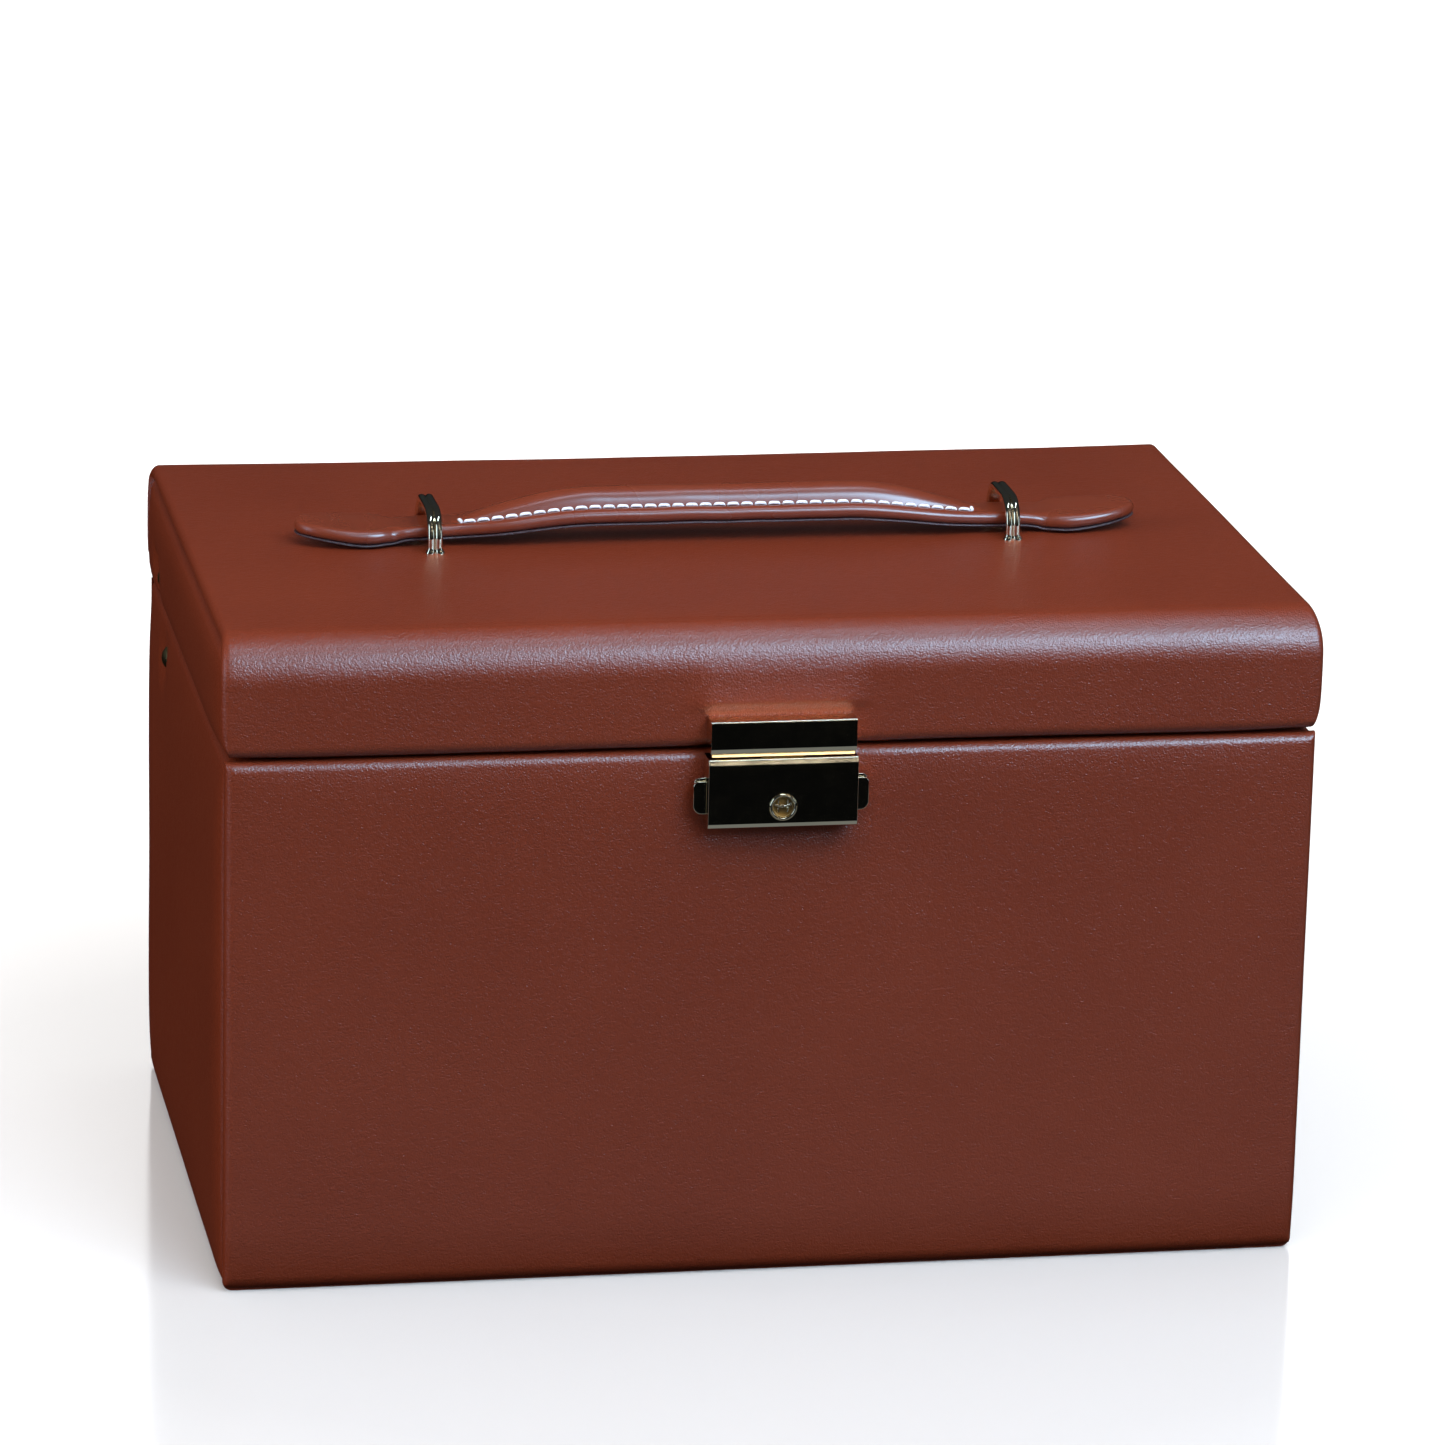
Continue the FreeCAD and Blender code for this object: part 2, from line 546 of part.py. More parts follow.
def inside():
    """Linings, the base's dividers, the tray ledges, the mirror and its panel."""
    lined_x = (f"-{LINED_X}", LINED_X)
    lined_y = (f"-{LINED_Y}", LINED_Y)
    wall_lining("base_lining", "base_wall_lining", (FLOOR_TOP, BASE_BOARD_TOP), LOCK_RIVET_Z,
                ("stay_base_y", "stay_base_z"))
    wall_lining("lid_lining", "lid_wall_lining", (LID_BOARD_LOW, LID_CEILING), HASP_RIVET_Z,
                ("stay_lid_y", "stay_lid_z"))
    keep(block("floor_lining", lined_x, lined_y, (FLOOR_TOP, LINED_FLOOR)), "base_floor_lining")

    half = "divider_thick / 2"
    upright = (LINED_FLOOR, f"{LINED_FLOOR} + divider_high")
    pieces = [block("long_divider", lined_x, (f"-{half}", half), upright)]
    for side, sign in SIDES:
        across = (f"{sign} * cross_spot - {half}", f"{sign} * cross_spot + {half}")
        pieces.append(block(f"cross_divider_{side}", across, (half, LINED_Y), upright))
    keep(group("dividers", pieces), "base_dividers")

    ledge_z = ("tray_low - link_gap - ledge_high", "tray_low - link_gap")
    pieces = [
        block(
            f"ledge_{side}", mirrored(sign, f"{LINED_X} - ledge_wide", LINED_X),
            ("-ledge_half", "ledge_half"), ledge_z,
        )
        for side, sign in SIDES
    ]
    keep(group("ledges", pieces), "tray_ledges")

    mirror_x = ("-mirror_half_x", "mirror_half_x")
    mirror_y = ("-mirror_half_y", "mirror_half_y")
    panel = block(
        "panel_blank", ("-panel_half_x", "panel_half_x"), ("-panel_half_y", "panel_half_y"),
        (f"{LID_CEILING} - panel_thick", LID_CEILING),
    )
    window = block("panel_window", mirror_x, mirror_y, (f"{LID_CEILING} - panel_thick", LID_CEILING))
    keep(without("panel", panel, [window]), "mirror_panel")
    keep(block("glass", mirror_x, mirror_y, (f"{LID_CEILING} - mirror_thick", LID_CEILING)), "mirror")


# --- Hinges -------------------------------------------------------------------------------------


def knuckle_span(index):
    """Limits of one of a hinge's knuckles, from the hinge's middle."""
    pitch = "hinge_long / knuckle_count"
    low = f"({index} - knuckle_count / 2) * {pitch} + knuckle_gap / 2"
    high = f"({index + 1} - knuckle_count / 2) * {pitch} - knuckle_gap / 2"
    return (low, high)


def hinge_leaf(name, sign, indices, leaf_z):
    """A leaf with its knuckles, drilled for the pin and countersunk for three screws."""
    middle = f"{sign} * hinge_spread / 2"
    back = f"{BOARD_Y} - leaf_set + leaf_deep"
    pieces = [
        block(name + "_leaf", (f"{middle} - hinge_long / 2", f"{middle} + hinge_long / 2"),
              (f"{back} - leaf_deep", back), leaf_z)
    ]
    for index in indices:
        low, high = knuckle_span(index)
        span = (f"{middle} + {low}", f"{middle} + {high}")
        pieces.append(block(f"{name}_tab_{index}", span, (back, HINGE_Y), leaf_z))
        start = (span[0], HINGE_Y, "seam_height")
        length = "hinge_long / knuckle_count - knuckle_gap"
        pieces.append(rod(f"{name}_knuckle_{index}", "x", start, "knuckle_radius", length))
    start = (f"{middle} - hinge_long / 2 - pin_head_high", HINGE_Y, "seam_height")
    length = "hinge_long + 2 * pin_head_high"
    tools = [rod(name + "_bore", "x", start, "pin_radius + pin_play", length)]
    for step in SCREW_STEPS:
        spot = (f"{middle} + {step} * hinge_long / 3", SCREW_Y)
        tools.append(screw_cone(f"{name}_sink_{step + 1}", spot, leaf_z))
    return without(name, fused(name + "_blank", pieces), tools)


def screw_cone(name, spot, leaf_z):
    """The countersunk head of a hinge screw, wide at the seam side of its leaf."""
    wide_first = leaf_z[0] != BASE_RIM
    radii = ("screw_head", "screw_radius") if wide_first else ("screw_radius", "screw_head")
    return taper(name, (*spot, leaf_z[0]), *radii, "leaf_thick")


def hinges():
    """Two butt hinges: leaves, pins and screws."""
    lower_z = (BASE_RIM, f"{BASE_RIM} + leaf_thick")
    upper_z = (f"{LID_RIM} - leaf_thick", LID_RIM)
    for label, indices, leaf_z in (
        ("lower", (0, 2, 4), lower_z),
        ("upper", (1, 3), upper_z),
    ):
        leaves = [hinge_leaf(f"{label}_{side}", sign, indices, leaf_z) for side, sign in SIDES]
        keep(group(f"{label}_leaves", leaves), f"hinge_{label}_leaves")
        screws = []
        for number, spot in enumerate(screw_spots()):
            head = screw_cone(f"{label}_head_{number}", (spot, SCREW_Y), leaf_z)
            low = SCREW_LOW_Z if label == "lower" else LID_RIM
            start = (spot, SCREW_Y, low)
            shank = rod(f"{label}_shank_{number}", "z", start, "screw_radius", "screw_long")
            screws.append(fused(f"{label}_screw_{number}", [head, shank]))
        keep(group(f"{label}_screws", screws), f"hinge_{label}_screws")
    pins = []
    for side, sign in SIDES:
        low_x = f"{sign} * hinge_spread / 2 - hinge_long / 2 - pin_head_high"
        start = (low_x, HINGE_Y, "seam_height")
        shank = rod(f"pin_shank_{side}", "x", start, "pin_radius", "hinge_long + 2 * pin_head_high")
        head = rod(f"pin_head_{side}", "x", start, "pin_radius + pin_head_extra", "pin_head_high")
        pins.append(fused(f"pin_{side}", [shank, head]))
    keep(group("pins", pins), "hinge_pins")


# --- Lid stays ----------------------------------------------------------------------------------


def link(name, sign, face, low_end, high_end, low_hole, high_hole):
    """A flat link with round ends between two pivots, drilled at both."""
    reach_y = f"({high_end[0]} - {low_end[0]})"
    reach_z = f"({high_end[1]} - {low_end[1]})"
    length = f"sqrt({reach_y} * {reach_y} + {reach_z} * {reach_z})"
    body = new_body(name)
    low_x = f"{face} - link_thick" if sign > 0 else f"-{face}"
    across = ("-link_wide / 2", "link_wide / 2")
    block(name + "_bar", ("0", "link_thick"), ("0", length), across, body)
    rod(name + "_end_a", "x", ("0", "0", "0"), "link_wide / 2", "link_thick", body)
    rod(name + "_end_b", "x", ("0", length, "0"), "link_wide / 2", "link_thick", body)
    rod(name + "_hole_a", "x", ("0", "0", "0"), low_hole, "link_thick", body, cutting=True)
    rod(name + "_hole_b", "x", ("0", length, "0"), high_hole, "link_thick", body, cutting=True)
    body.Placement.Rotation = FreeCAD.Rotation(FreeCAD.Vector(1, 0, 0), 0)
    body.setExpression("Placement.Rotation.Angle", bound(f"atan2({reach_z}; {reach_y})"))
    body.setExpression("Placement.Rotation.Axis.x", "1")
    body.setExpression("Placement.Rotation.Axis.y", "0")
    body.setExpression("Placement.Rotation.Axis.z", "0")
    place(body, low_x, *low_end)
    return body


def outer_rivet(name, sign, pivot, inner):
    """A rivet through a side wall: a low dome outside, a shank, and a flat head inside the link."""
    shank_x = mirrored(sign, inner, HALF_X)
    shank = rod(name + "_shank", "x", (shank_x[0], *pivot), "rivet_radius", f"{HALF_X} - ({inner})")
    head_x = mirrored(sign, inner, f"{inner} + rivet_inner")
    head = rod(name + "_head", "x", (head_x[0], *pivot), "rivet_head", "rivet_inner")
    cap = make("Sphere", name + "_cap")
    ball = "((dome_radius * dome_radius + dome_high * dome_high) / (2 * dome_high))"
    cap.setExpression("Radius", bound(ball))
    place(cap, f"{sign} * ({HALF_X} + dome_high - {ball})", *pivot)
    outside = mirrored(sign, HALF_X, f"{HALF_X} + 2 * dome_high")
    room = rod(name + "_room", "x", (outside[0], *pivot), "2 * dome_radius", "2 * dome_high")
    dome = make("Common", name + "_dome")
    dome.Base = cap
    dome.Tool = room
    return [shank, head, dome]


def stays():
    """A folding stay at each side: two links that form a parallelogram with the hinge and the pivots."""
    base_pivot = ("stay_base_y", "stay_base_z")
    lid_pivot = ("stay_lid_y", "stay_lid_z")
    middle = (STAY_MID_Y, STAY_MID_Z)
    running = "rivet_radius + pin_play"
    mid_rivets, base_rivets, lid_rivets = [], [], []
    inner_head = f"({UPPER_LINK_X} - link_thick - rivet_inner - stack_gap)"
    base_inner = f"({LOWER_LINK_X} - link_thick - rivet_inner - 2 * stack_gap)"
    for side, sign in SIDES:
        lower = link(
            f"lower_{side}_body", sign, LOWER_LINK_X, middle, base_pivot, "rivet_radius", running
        )
        keep(lower, f"stay_lower_link_{side}")
        upper = link(
            f"upper_{side}_body", sign, UPPER_LINK_X, middle, lid_pivot,
            "rivet_radius + rivet_play", running,
        )
        keep(upper, f"stay_upper_link_{side}")
        span = mirrored(sign, inner_head, LOWER_LINK_X)
        length = f"{LOWER_LINK_X} - {inner_head}"
        shank = rod(f"mid_shank_{side}", "x", (span[0], *middle), "rivet_radius", length)
        span = mirrored(sign, inner_head, f"{inner_head} + rivet_inner")
        head = rod(f"mid_head_{side}", "x", (span[0], *middle), "rivet_head", "rivet_inner")
        mid_rivets.append(fused(f"mid_rivet_{side}", [shank, head]))

        pieces = outer_rivet(f"base_rivet_{side}", sign, base_pivot, base_inner)
        base_rivets.append(fused(f"base_rivet_{side}", pieces))
        pieces = outer_rivet(f"lid_rivet_{side}", sign, lid_pivot, inner_head)
        collar_x = mirrored(sign, f"{UPPER_LINK_X} + stack_gap", LINED_X)
        length = f"{LINED_X} - {UPPER_LINK_X} - stack_gap"
        pieces.append(rod(f"collar_{side}", "x", (collar_x[0], *lid_pivot), "rivet_head", length))
        lid_rivets.append(fused(f"lid_rivet_{side}", pieces))
    keep(group("mid_rivets", mid_rivets), "stay_middle_rivets")
    keep(group("base_rivets", base_rivets), "base_stay_rivets")
    keep(group("lid_rivets", lid_rivets), "lid_stay_rivets")


# --- Lock and hasp ------------------------------------------------------------------------------


def clinched(label, height):
    """Two rivets that hold a plate to the front wall, each with a flat head inside."""
    rivets = []
    shanks = clinch_rods(label + "_shank", height, f"{WALL_THICK} + clinch_high")
    for shank, (side, sign) in zip(shanks, SIDES):
        start = (f"{sign} * clinch_spot", f"-{LINED_Y}", height)
        head = rod(f"{label}_head_{side}", "y", start, "clinch_head", "clinch_high")
        rivets.append(fused(f"{label}_{side}", [shank, head]))
    keep(group(label + "_pair", rivets), label)


def lock():
    """The lock on the base: housing, back plate, keyhole ring and cylinder."""
    front = size("case_depth") / 2 + size("lock_deep")
    half = size("lock_wide") / 2
    high = size("lock_high")
    face = "-(case_depth / 2 + lock_deep)"
    full_x = ("-lock_wide / 2", "lock_wide / 2")
    full_y = (face, f"-{HALF_Y}")
    body = new_body("housing")
    shell = block("housing_blank", full_x, full_y, ("lock_low", "lock_high"), body)
    eased(
        body, shell, "Chamfer", "lock_bevel",
        lambda edge: lies(edge, y=-front) or lies(edge, z=high, x=half) or lies(edge, z=high, x=-half),
    )
    block(
        "housing_room", (f"{full_x[0]} + lock_wall", f"{full_x[1]} - lock_wall"),
        (f"{face} + lock_wall", f"-{HALF_Y}"), ("lock_low + lock_wall", "lock_high - lock_wall"),
        body, cutting=True,
    )
    tongue_half = "(tongue_wide / 2 + slot_play)"
    deep_half = "(tongue_thick / 2 + slot_play)"
    block(
        "tongue_slot", (f"-{tongue_half}", tongue_half),
        (f"{TONGUE_Y} - {deep_half}", f"{TONGUE_Y} + {deep_half}"),
        ("lock_high - lock_wall", "lock_high"), body, cutting=True,
    )
    tab_half = "(tab_thick / 2 + slot_play / 2)"
    block(
        "tab_slots", full_x, (f"{TONGUE_Y} - {tab_half}", f"{TONGUE_Y} + {tab_half}"),
        ("tab_low - slot_play / 2", "tab_high + slot_play / 2"), body, cutting=True,
    )
    start = ("0", face, "key_height")
    rod("cylinder_hole", "y", start, "ring_radius", "lock_wall", body, cutting=True)
    keep(body, "lock_housing")

    inset = "(lock_wall + plate_gap)"
    plate_front = f"-{HALF_Y} - plate_thick"
    pieces = [
        block(
            "plate", (f"{full_x[0]} + {inset}", f"{full_x[1]} - {inset}"), (plate_front, f"-{HALF_Y}"),
            (f"lock_low + {inset}", f"lock_high - {inset}"),
        )
    ]
    for side, sign in SIDES:
        pieces.append(
            block(
                f"lug_{side}", mirrored(sign, "lug_spread", "lug_spread + lug_thick"),
                (f"{TONGUE_Y} - tab_thick / 2", plate_front),
                (f"{SPRING_Z} - lug_half", f"{SPRING_Z} + lug_half"),
            )
        )
    keep(fused("back_plate", pieces), "lock_back_plate")
    clinched("lock_rivets", LOCK_RIVET_Z)

    start = ("0", f"{face} - ring_proud", "key_height")
    ring = rod("ring_blank", "y", start, "ring_radius", "lock_wall + ring_proud")
    bore = rod("ring_bore", "y", start, "barrel_radius + pin_play", "lock_wall + ring_proud")
    keep(without("ring", ring, [bore]), "keyhole_ring")

    barrel_front = f"{face} + barrel_set"
    barrel_long = "lock_deep - plate_thick - 2 * barrel_set"
    barrel = rod("barrel", "y", ("0", barrel_front, "key_height"), "barrel_radius", barrel_long)
    cam = block(
        "cam", ("-cam_half", "cam_half"),
        (f"{plate_front} - barrel_set - cam_thick", f"{plate_front} - barrel_set"),
        ("key_height", "key_height + cam_reach"),
    )
    keyway_y = (barrel_front, f"{barrel_front} + keyway_deep")
    openings = [
        block(
            f"keyway_{name}", ("-keyway_half", "keyway_half"), keyway_y,
            (f"key_height + {low}", f"key_height + {high}"),
        )
        for name, low, high in (
            ("upper", "keyway_bar", "keyway_far"),
            ("lower", "-keyway_far", "-keyway_bar"),
        )
    ]
    keep(without("cylinder", fused("barrel_cam", [barrel, cam]), openings), "lock_cylinder")


def release_tabs():
    """A sliding tab at each side of the lock, with a spring behind it."""
    for side, sign in SIDES:
        body = new_body(f"tab_{side}")
        tab = block(
            f"tab_{side}_plate", mirrored(sign, "tab_in", "tab_out"),
            (f"{TONGUE_Y} - tab_thick / 2", f"{TONGUE_Y} + tab_thick / 2"), ("tab_low", "tab_high"), body,
        )
        outer = sign * size("tab_out")
        eased(
            body, tab, "Fillet", "tab_round",
            lambda edge: lies(edge, x=outer, z=size("tab_low")) or lies(edge, x=outer, z=size("tab_high")),
        )
        keep(body, f"release_tab_{side}")
        keep(tab_spring(sign), f"tab_spring_{side}")


def tab_spring(sign):
    """A compression spring between a lug of the back plate and a release tab's inner end."""
    wire = size("spring_wire")
    start = size("lug_spread") + size("lug_thick") + wire
    length = size("tab_in") - wire - start
    helix = Part.makeHelix(length / size("spring_turns"), length, size("spring_radius"))
    ring = Part.makeCircle(wire, FreeCAD.Vector(size("spring_radius"), 0, 0), FreeCAD.Vector(0, 1, 0))
    coil = Part.Wire(helix.Edges).makePipeShell([Part.Wire([ring])], True, True)
    item = doc.addObject("Part::Feature", "spring")
    item.Shape = coil
    side = FreeCAD.Rotation(FreeCAD.Vector(0, 1, 0), 90 * sign)
    height = (size("tab_low") + size("tab_high")) / 2 - size("spring_drop")
    depth = -size("case_depth") / 2 - size("lock_deep") / 2
    item.Placement = FreeCAD.Placement(FreeCAD.Vector(sign * start, depth, height), side)
    return item


def hasp():
    """The plate on the lid and the tongue that drops into the lock."""
    face = "-(case_depth / 2 + hasp_deep)"
    front = size("case_depth") / 2 + size("hasp_deep")
    half = size("hasp_wide") / 2
    body = new_body("hasp")
    high = size("hasp_high")
    across = ("-hasp_wide / 2", "hasp_wide / 2")
    plate = block("hasp_blank", across, (face, f"-{HALF_Y}"), ("hasp_low", "hasp_high"), body)
    eased(
        body, plate, "Chamfer", "lock_bevel / 2",
        lambda edge: lies(edge, y=-front) or lies(edge, x=half, z=high) or lies(edge, x=-half, z=high),
    )
    tongue_x = ("-tongue_wide / 2", "tongue_wide / 2")
    tongue_y = (f"{TONGUE_Y} - tongue_thick / 2", f"{TONGUE_Y} + tongue_thick / 2")
    block("hasp_slot", tongue_x, tongue_y, ("hasp_low", "hasp_low + tongue_in"), body, cutting=True)
    keep(body, "hasp_plate")

    blank = block("tongue_blank", tongue_x, tongue_y, ("tongue_low", "hasp_low + tongue_in"))
    notches = [
        block(
            f"tongue_notch_{side}", mirrored(sign, "tongue_wide / 2 - catch_deep", "tongue_wide / 2"),
            tongue_y, ("tongue_low + catch_low", "tongue_low + catch_high"),
        )
        for side, sign in SIDES
    ]
    keep(without("tongue", blank, notches), "hasp_tongue")
    clinched("hasp_rivets", HASP_RIVET_Z)


# --- Handle -------------------------------------------------------------------------------------


def handle_loop(side, sign):
    """A flat bar bent to a low arch, with two legs through the lid."""
    body = new_body(f"loop_{side}")
    half = size("loop_half")
    high = size("loop_high")
    inner_half = half - size("loop_thick")
    inner_high = high - size("loop_thick")
    across = ("-loop_wide / 2", "loop_wide / 2")
    arch = block("arch", across, ("-loop_half", "loop_half"), ("0", "loop_high"), body)
    eased(
        body, arch, "Fillet", "loop_corner",
        lambda edge: lies(edge, y=half, z=high) or lies(edge, y=-half, z=high),
    )
    inner = "loop_half - loop_thick"
    room_z = ("0", "loop_high - loop_thick")
    room = block("arch_room", across, (f"-({inner})", inner), room_z, body, cutting=True)
    eased(
        body, room, "Fillet", "loop_corner - loop_thick",
        lambda edge: lies(edge, y=inner_half, z=inner_high) or lies(edge, y=-inner_half, z=inner_high),
    )
    for end, way in ENDS:
        start = ("0", f"{way} * {LEG_Y}", "-(skin_thick + board_thick)")
        rod(f"leg_{side}_{end}", "z", start, "leg_radius", "skin_thick + board_thick", body)
    place(body, f"{sign} * loop_spread / 2", "0", "case_height")
    return keep(body, f"handle_loop_{side}")


def handle():
    """The strap with its raised pad, the two loops and their nuts."""
    nuts = []
    for side, sign in SIDES:
        handle_loop(side, sign)
        for end, way in ENDS:
            start = (f"{sign} * loop_spread / 2", f"{way} * {LEG_Y}", LID_CEILING)
            blank = rod(f"nut_{side}_{end}", "z", start, "nut_radius", "nut_high")
            bore = rod(f"nut_bore_{side}_{end}", "z", start, "leg_radius", "nut_high")
            nuts.append(without(f"nut_ring_{side}_{end}", blank, [bore]))
    keep(group("nuts", nuts), "handle_loop_nuts")

    low = "case_height + strap_lift"
    high = f"{low} + strap_thick"
    end = "strap_long / 2"
    body = new_body("strap")
    lower = [(f"-{end}", low), ("-neck_from", low), ("-bow_half", f"{low} + strap_bow"),
             ("bow_half", f"{low} + strap_bow"), ("neck_from", low), (end, low)]
    upper = [(end, high), ("neck_from", high), ("bow_half", f"{high} + strap_bow"),
             ("-bow_half", f"{high} + strap_bow"), ("-neck_from", high), (f"-{end}", high)]
    side_view = outline(body, "XZ_Plane", lower + upper, "strap_side")
    strap = padded(body, side_view, "strap_wide", "strap_pad")
    for side, sign in SIDES:
        for name, way in ENDS:
            across = mirrored(way, "neck_wide / 2", "strap_wide / 2")
            along = mirrored(sign, "neck_from", "neck_to")
            block(f"neck_{side}_{name}", along, across, (low, high), body, cutting=True)
    keep(body, "handle_strap")

    body = new_body("spine")
    base = f"{high} + strap_bow"
    crown = [("-neck_from", high), ("-bow_half", base), ("bow_half", base), ("neck_from", high),
             ("bow_half", f"{base} + pad_shoulder"), ("bow_half / 2", f"{base} + pad_high"),
             ("-bow_half / 2", f"{base} + pad_high"), ("-bow_half", f"{base} + pad_shoulder")]
    section = outline(body, "XZ_Plane", crown, "spine_side")
    padded(body, section, "pad_wide", "spine_pad")
    keep(body, "handle_spine_pad")


# --- Tray ---------------------------------------------------------------------------------------


def tray():
    """A lift-out tray with dividers and ring rolls."""
    full_x = ("-tray_half_x", "tray_half_x")
    room_x = ("-(tray_half_x - tray_wall)", "tray_half_x - tray_wall")
    room_y = ("-(tray_half_y - tray_wall)", "tray_half_y - tray_wall")
    floor_top = "(tray_low + tray_floor_thick)"
    wall_z = (floor_top, "tray_high")
    keep(block("tray_base", full_x, ("-tray_half_y", "tray_half_y"), ("tray_low", floor_top)), "tray_floor")
    walls = [
        block("tray_front", full_x, ("-tray_half_y", room_y[0]), wall_z),
        block("tray_back", full_x, (room_y[1], "tray_half_y"), wall_z),
    ]
    keep(group("long_walls", walls), "tray_long_walls")
    ends = []
    for side, sign in SIDES:
        blank = block(f"tray_end_{side}", mirrored(sign, room_x[1], "tray_half_x"), room_y, wall_z)
        notch = block(
            f"tray_notch_{side}", mirrored(sign, room_x[1], "tray_half_x"),
            ("-notch_half", "notch_half"), ("tray_high - notch_deep", "tray_high"),
        )
        ends.append(without(f"tray_end_cut_{side}", blank, [notch]))
    keep(group("end_walls", ends), "tray_end_walls")

    half = "divider_thick / 2"
    divider_z = (floor_top, "tray_high - notch_deep")
    split = "(-tray_half_x + tray_wall + roll_long + 2 * roll_play)"
    pieces = [
        block("tray_split", (split, f"{split} + divider_thick"), room_y, divider_z),
        block("tray_long", (f"{split} + divider_thick", room_x[1]), (f"-{half}", half), divider_z),
        block(
            "tray_short", (f"tray_half_x / 2 - {half}", f"tray_half_x / 2 + {half}"),
            (half, room_y[1]), divider_z,
        ),
    ]
    keep(group("tray_divider_set", pieces), "tray_dividers")

    pitch = "((2 * tray_half_y - 2 * tray_wall) / roll_count)"
    rolls = []
    for number in range(int(size("roll_count"))):
        spot_y = f"{room_y[0]} + ({number} + 1 / 2) * {pitch}"
        start = (f"{room_x[0]} + roll_play", spot_y, f"{floor_top} + roll_radius")
        rolls.append(rod(f"roll_{number}", "x", start, "roll_radius", "roll_long"))
    keep(group("rolls", rolls), "ring_rolls")


boards()
base_leather()
lid_leather()
inside()
hinges()
stays()
lock()
release_tabs()
hasp()
handle()
tray()
doc.recompute()

for item in doc.Objects:
    if "Invalid" in item.State or "Error" in item.State:
        raise RuntimeError(f"{item.Label} did not compute: {item.State}")
os.makedirs("parts", exist_ok=True)
for node in nodes:
    if node.Shape.isNull() or not node.Shape.isValid() or not node.Shape.Solids:
        raise RuntimeError(f"{node.Label} has no valid solid")
for node in nodes:
    node.Shape.exportStep(f"parts/{node.Label}.step")
print(len(nodes), "sub-parts")
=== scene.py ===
"""Looks of the leather jewellery case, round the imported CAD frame. Metres, +Z up, the front faces -Y."""

import json
import math

import bmesh
import bpy
from mathutils import Matrix, Vector, noise


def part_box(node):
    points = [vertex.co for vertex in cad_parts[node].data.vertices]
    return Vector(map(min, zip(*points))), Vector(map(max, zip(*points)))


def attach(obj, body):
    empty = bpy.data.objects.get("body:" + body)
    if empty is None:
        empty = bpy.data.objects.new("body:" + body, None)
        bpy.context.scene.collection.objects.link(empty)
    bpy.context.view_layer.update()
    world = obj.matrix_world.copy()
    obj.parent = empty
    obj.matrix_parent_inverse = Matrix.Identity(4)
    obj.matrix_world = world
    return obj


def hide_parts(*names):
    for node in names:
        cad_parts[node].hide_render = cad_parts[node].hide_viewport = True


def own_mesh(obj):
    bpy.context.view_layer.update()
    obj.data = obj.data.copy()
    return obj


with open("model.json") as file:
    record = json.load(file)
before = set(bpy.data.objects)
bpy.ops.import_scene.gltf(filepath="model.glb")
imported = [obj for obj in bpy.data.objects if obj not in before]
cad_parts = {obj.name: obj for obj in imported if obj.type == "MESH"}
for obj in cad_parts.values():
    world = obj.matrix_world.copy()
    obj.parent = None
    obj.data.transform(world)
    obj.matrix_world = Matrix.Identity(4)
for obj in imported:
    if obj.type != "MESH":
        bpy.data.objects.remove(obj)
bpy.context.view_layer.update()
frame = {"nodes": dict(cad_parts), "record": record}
MM = 0.001
SIDES = (("left", -1), ("right", 1))


# --- Sizes read from the frame ---

base_low, base_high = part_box("base_front_leather")
lid_low, lid_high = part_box("lid_wrap_leather")
HALF_X = base_high.x
FRONT_Y = base_low.y
BACK_Y = -FRONT_Y
BASE_RIM = base_high.z
LID_RIM = lid_low.z
LID_TOP = lid_high.z
SKIN = HALF_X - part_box("base_right_board")[1].x
BOARD_X = HALF_X - SKIN
BOARD_Y = BACK_Y - SKIN
INNER_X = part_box("base_right_board")[0].x
INNER_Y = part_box("base_back_board")[0].y
FOLD = 0.6 * MM
FOLD_GAP = 0.05 * MM

# --- Camera, floor and light ---

CAMERA_PLACE = Vector((-0.3067, -1.6471, 0.5974))
CAMERA_AZIMUTH = math.radians(-10.627)
CAMERA_RISE = math.radians(16.144)
CAMERA_ROLL = math.radians(1.374)
CAMERA_LENS = 176.66


def make_camera():
    """The camera at the photograph's viewing angle."""
    back = Vector((
        math.sin(CAMERA_AZIMUTH) * math.cos(CAMERA_RISE),
        -math.cos(CAMERA_AZIMUTH) * math.cos(CAMERA_RISE),
        math.sin(CAMERA_RISE),
    ))
    right = Vector((0, 0, 1)).cross(back).normalized()
    up = back.cross(right)
    turned_right = right * math.cos(CAMERA_ROLL) + up * math.sin(CAMERA_ROLL)
    turned_up = up * math.cos(CAMERA_ROLL) - right * math.sin(CAMERA_ROLL)
    data = bpy.data.cameras.new("camera")
    data.lens = CAMERA_LENS
    data.clip_end = 100
    camera = bpy.data.objects.new("camera", data)
    turn = Matrix((turned_right, turned_up, back)).transposed().to_4x4()
    camera.matrix_world = Matrix.Translation(CAMERA_PLACE) @ turn
    bpy.context.scene.collection.objects.link(camera)
    bpy.context.scene.camera = camera


def area_light(name, place, aim, size, power, colour=(1, 1, 1), glossy=True, diffuse=True):
    """A rectangular softbox that points at a place."""
    data = bpy.data.lights.new(name, "AREA")
    data.shape = "RECTANGLE"
    data.size, data.size_y = size
    data.energy = power
    data.color = colour
    light = bpy.data.objects.new(name, data)
    light.location = place
    light.rotation_mode = "QUATERNION"
    light.rotation_quaternion = (Vector(aim) - Vector(place)).to_track_quat("-Z", "Y")
    light.visible_camera = False
    light.visible_glossy = glossy
    light.visible_diffuse = diffuse
    bpy.context.scene.collection.objects.link(light)
    return light


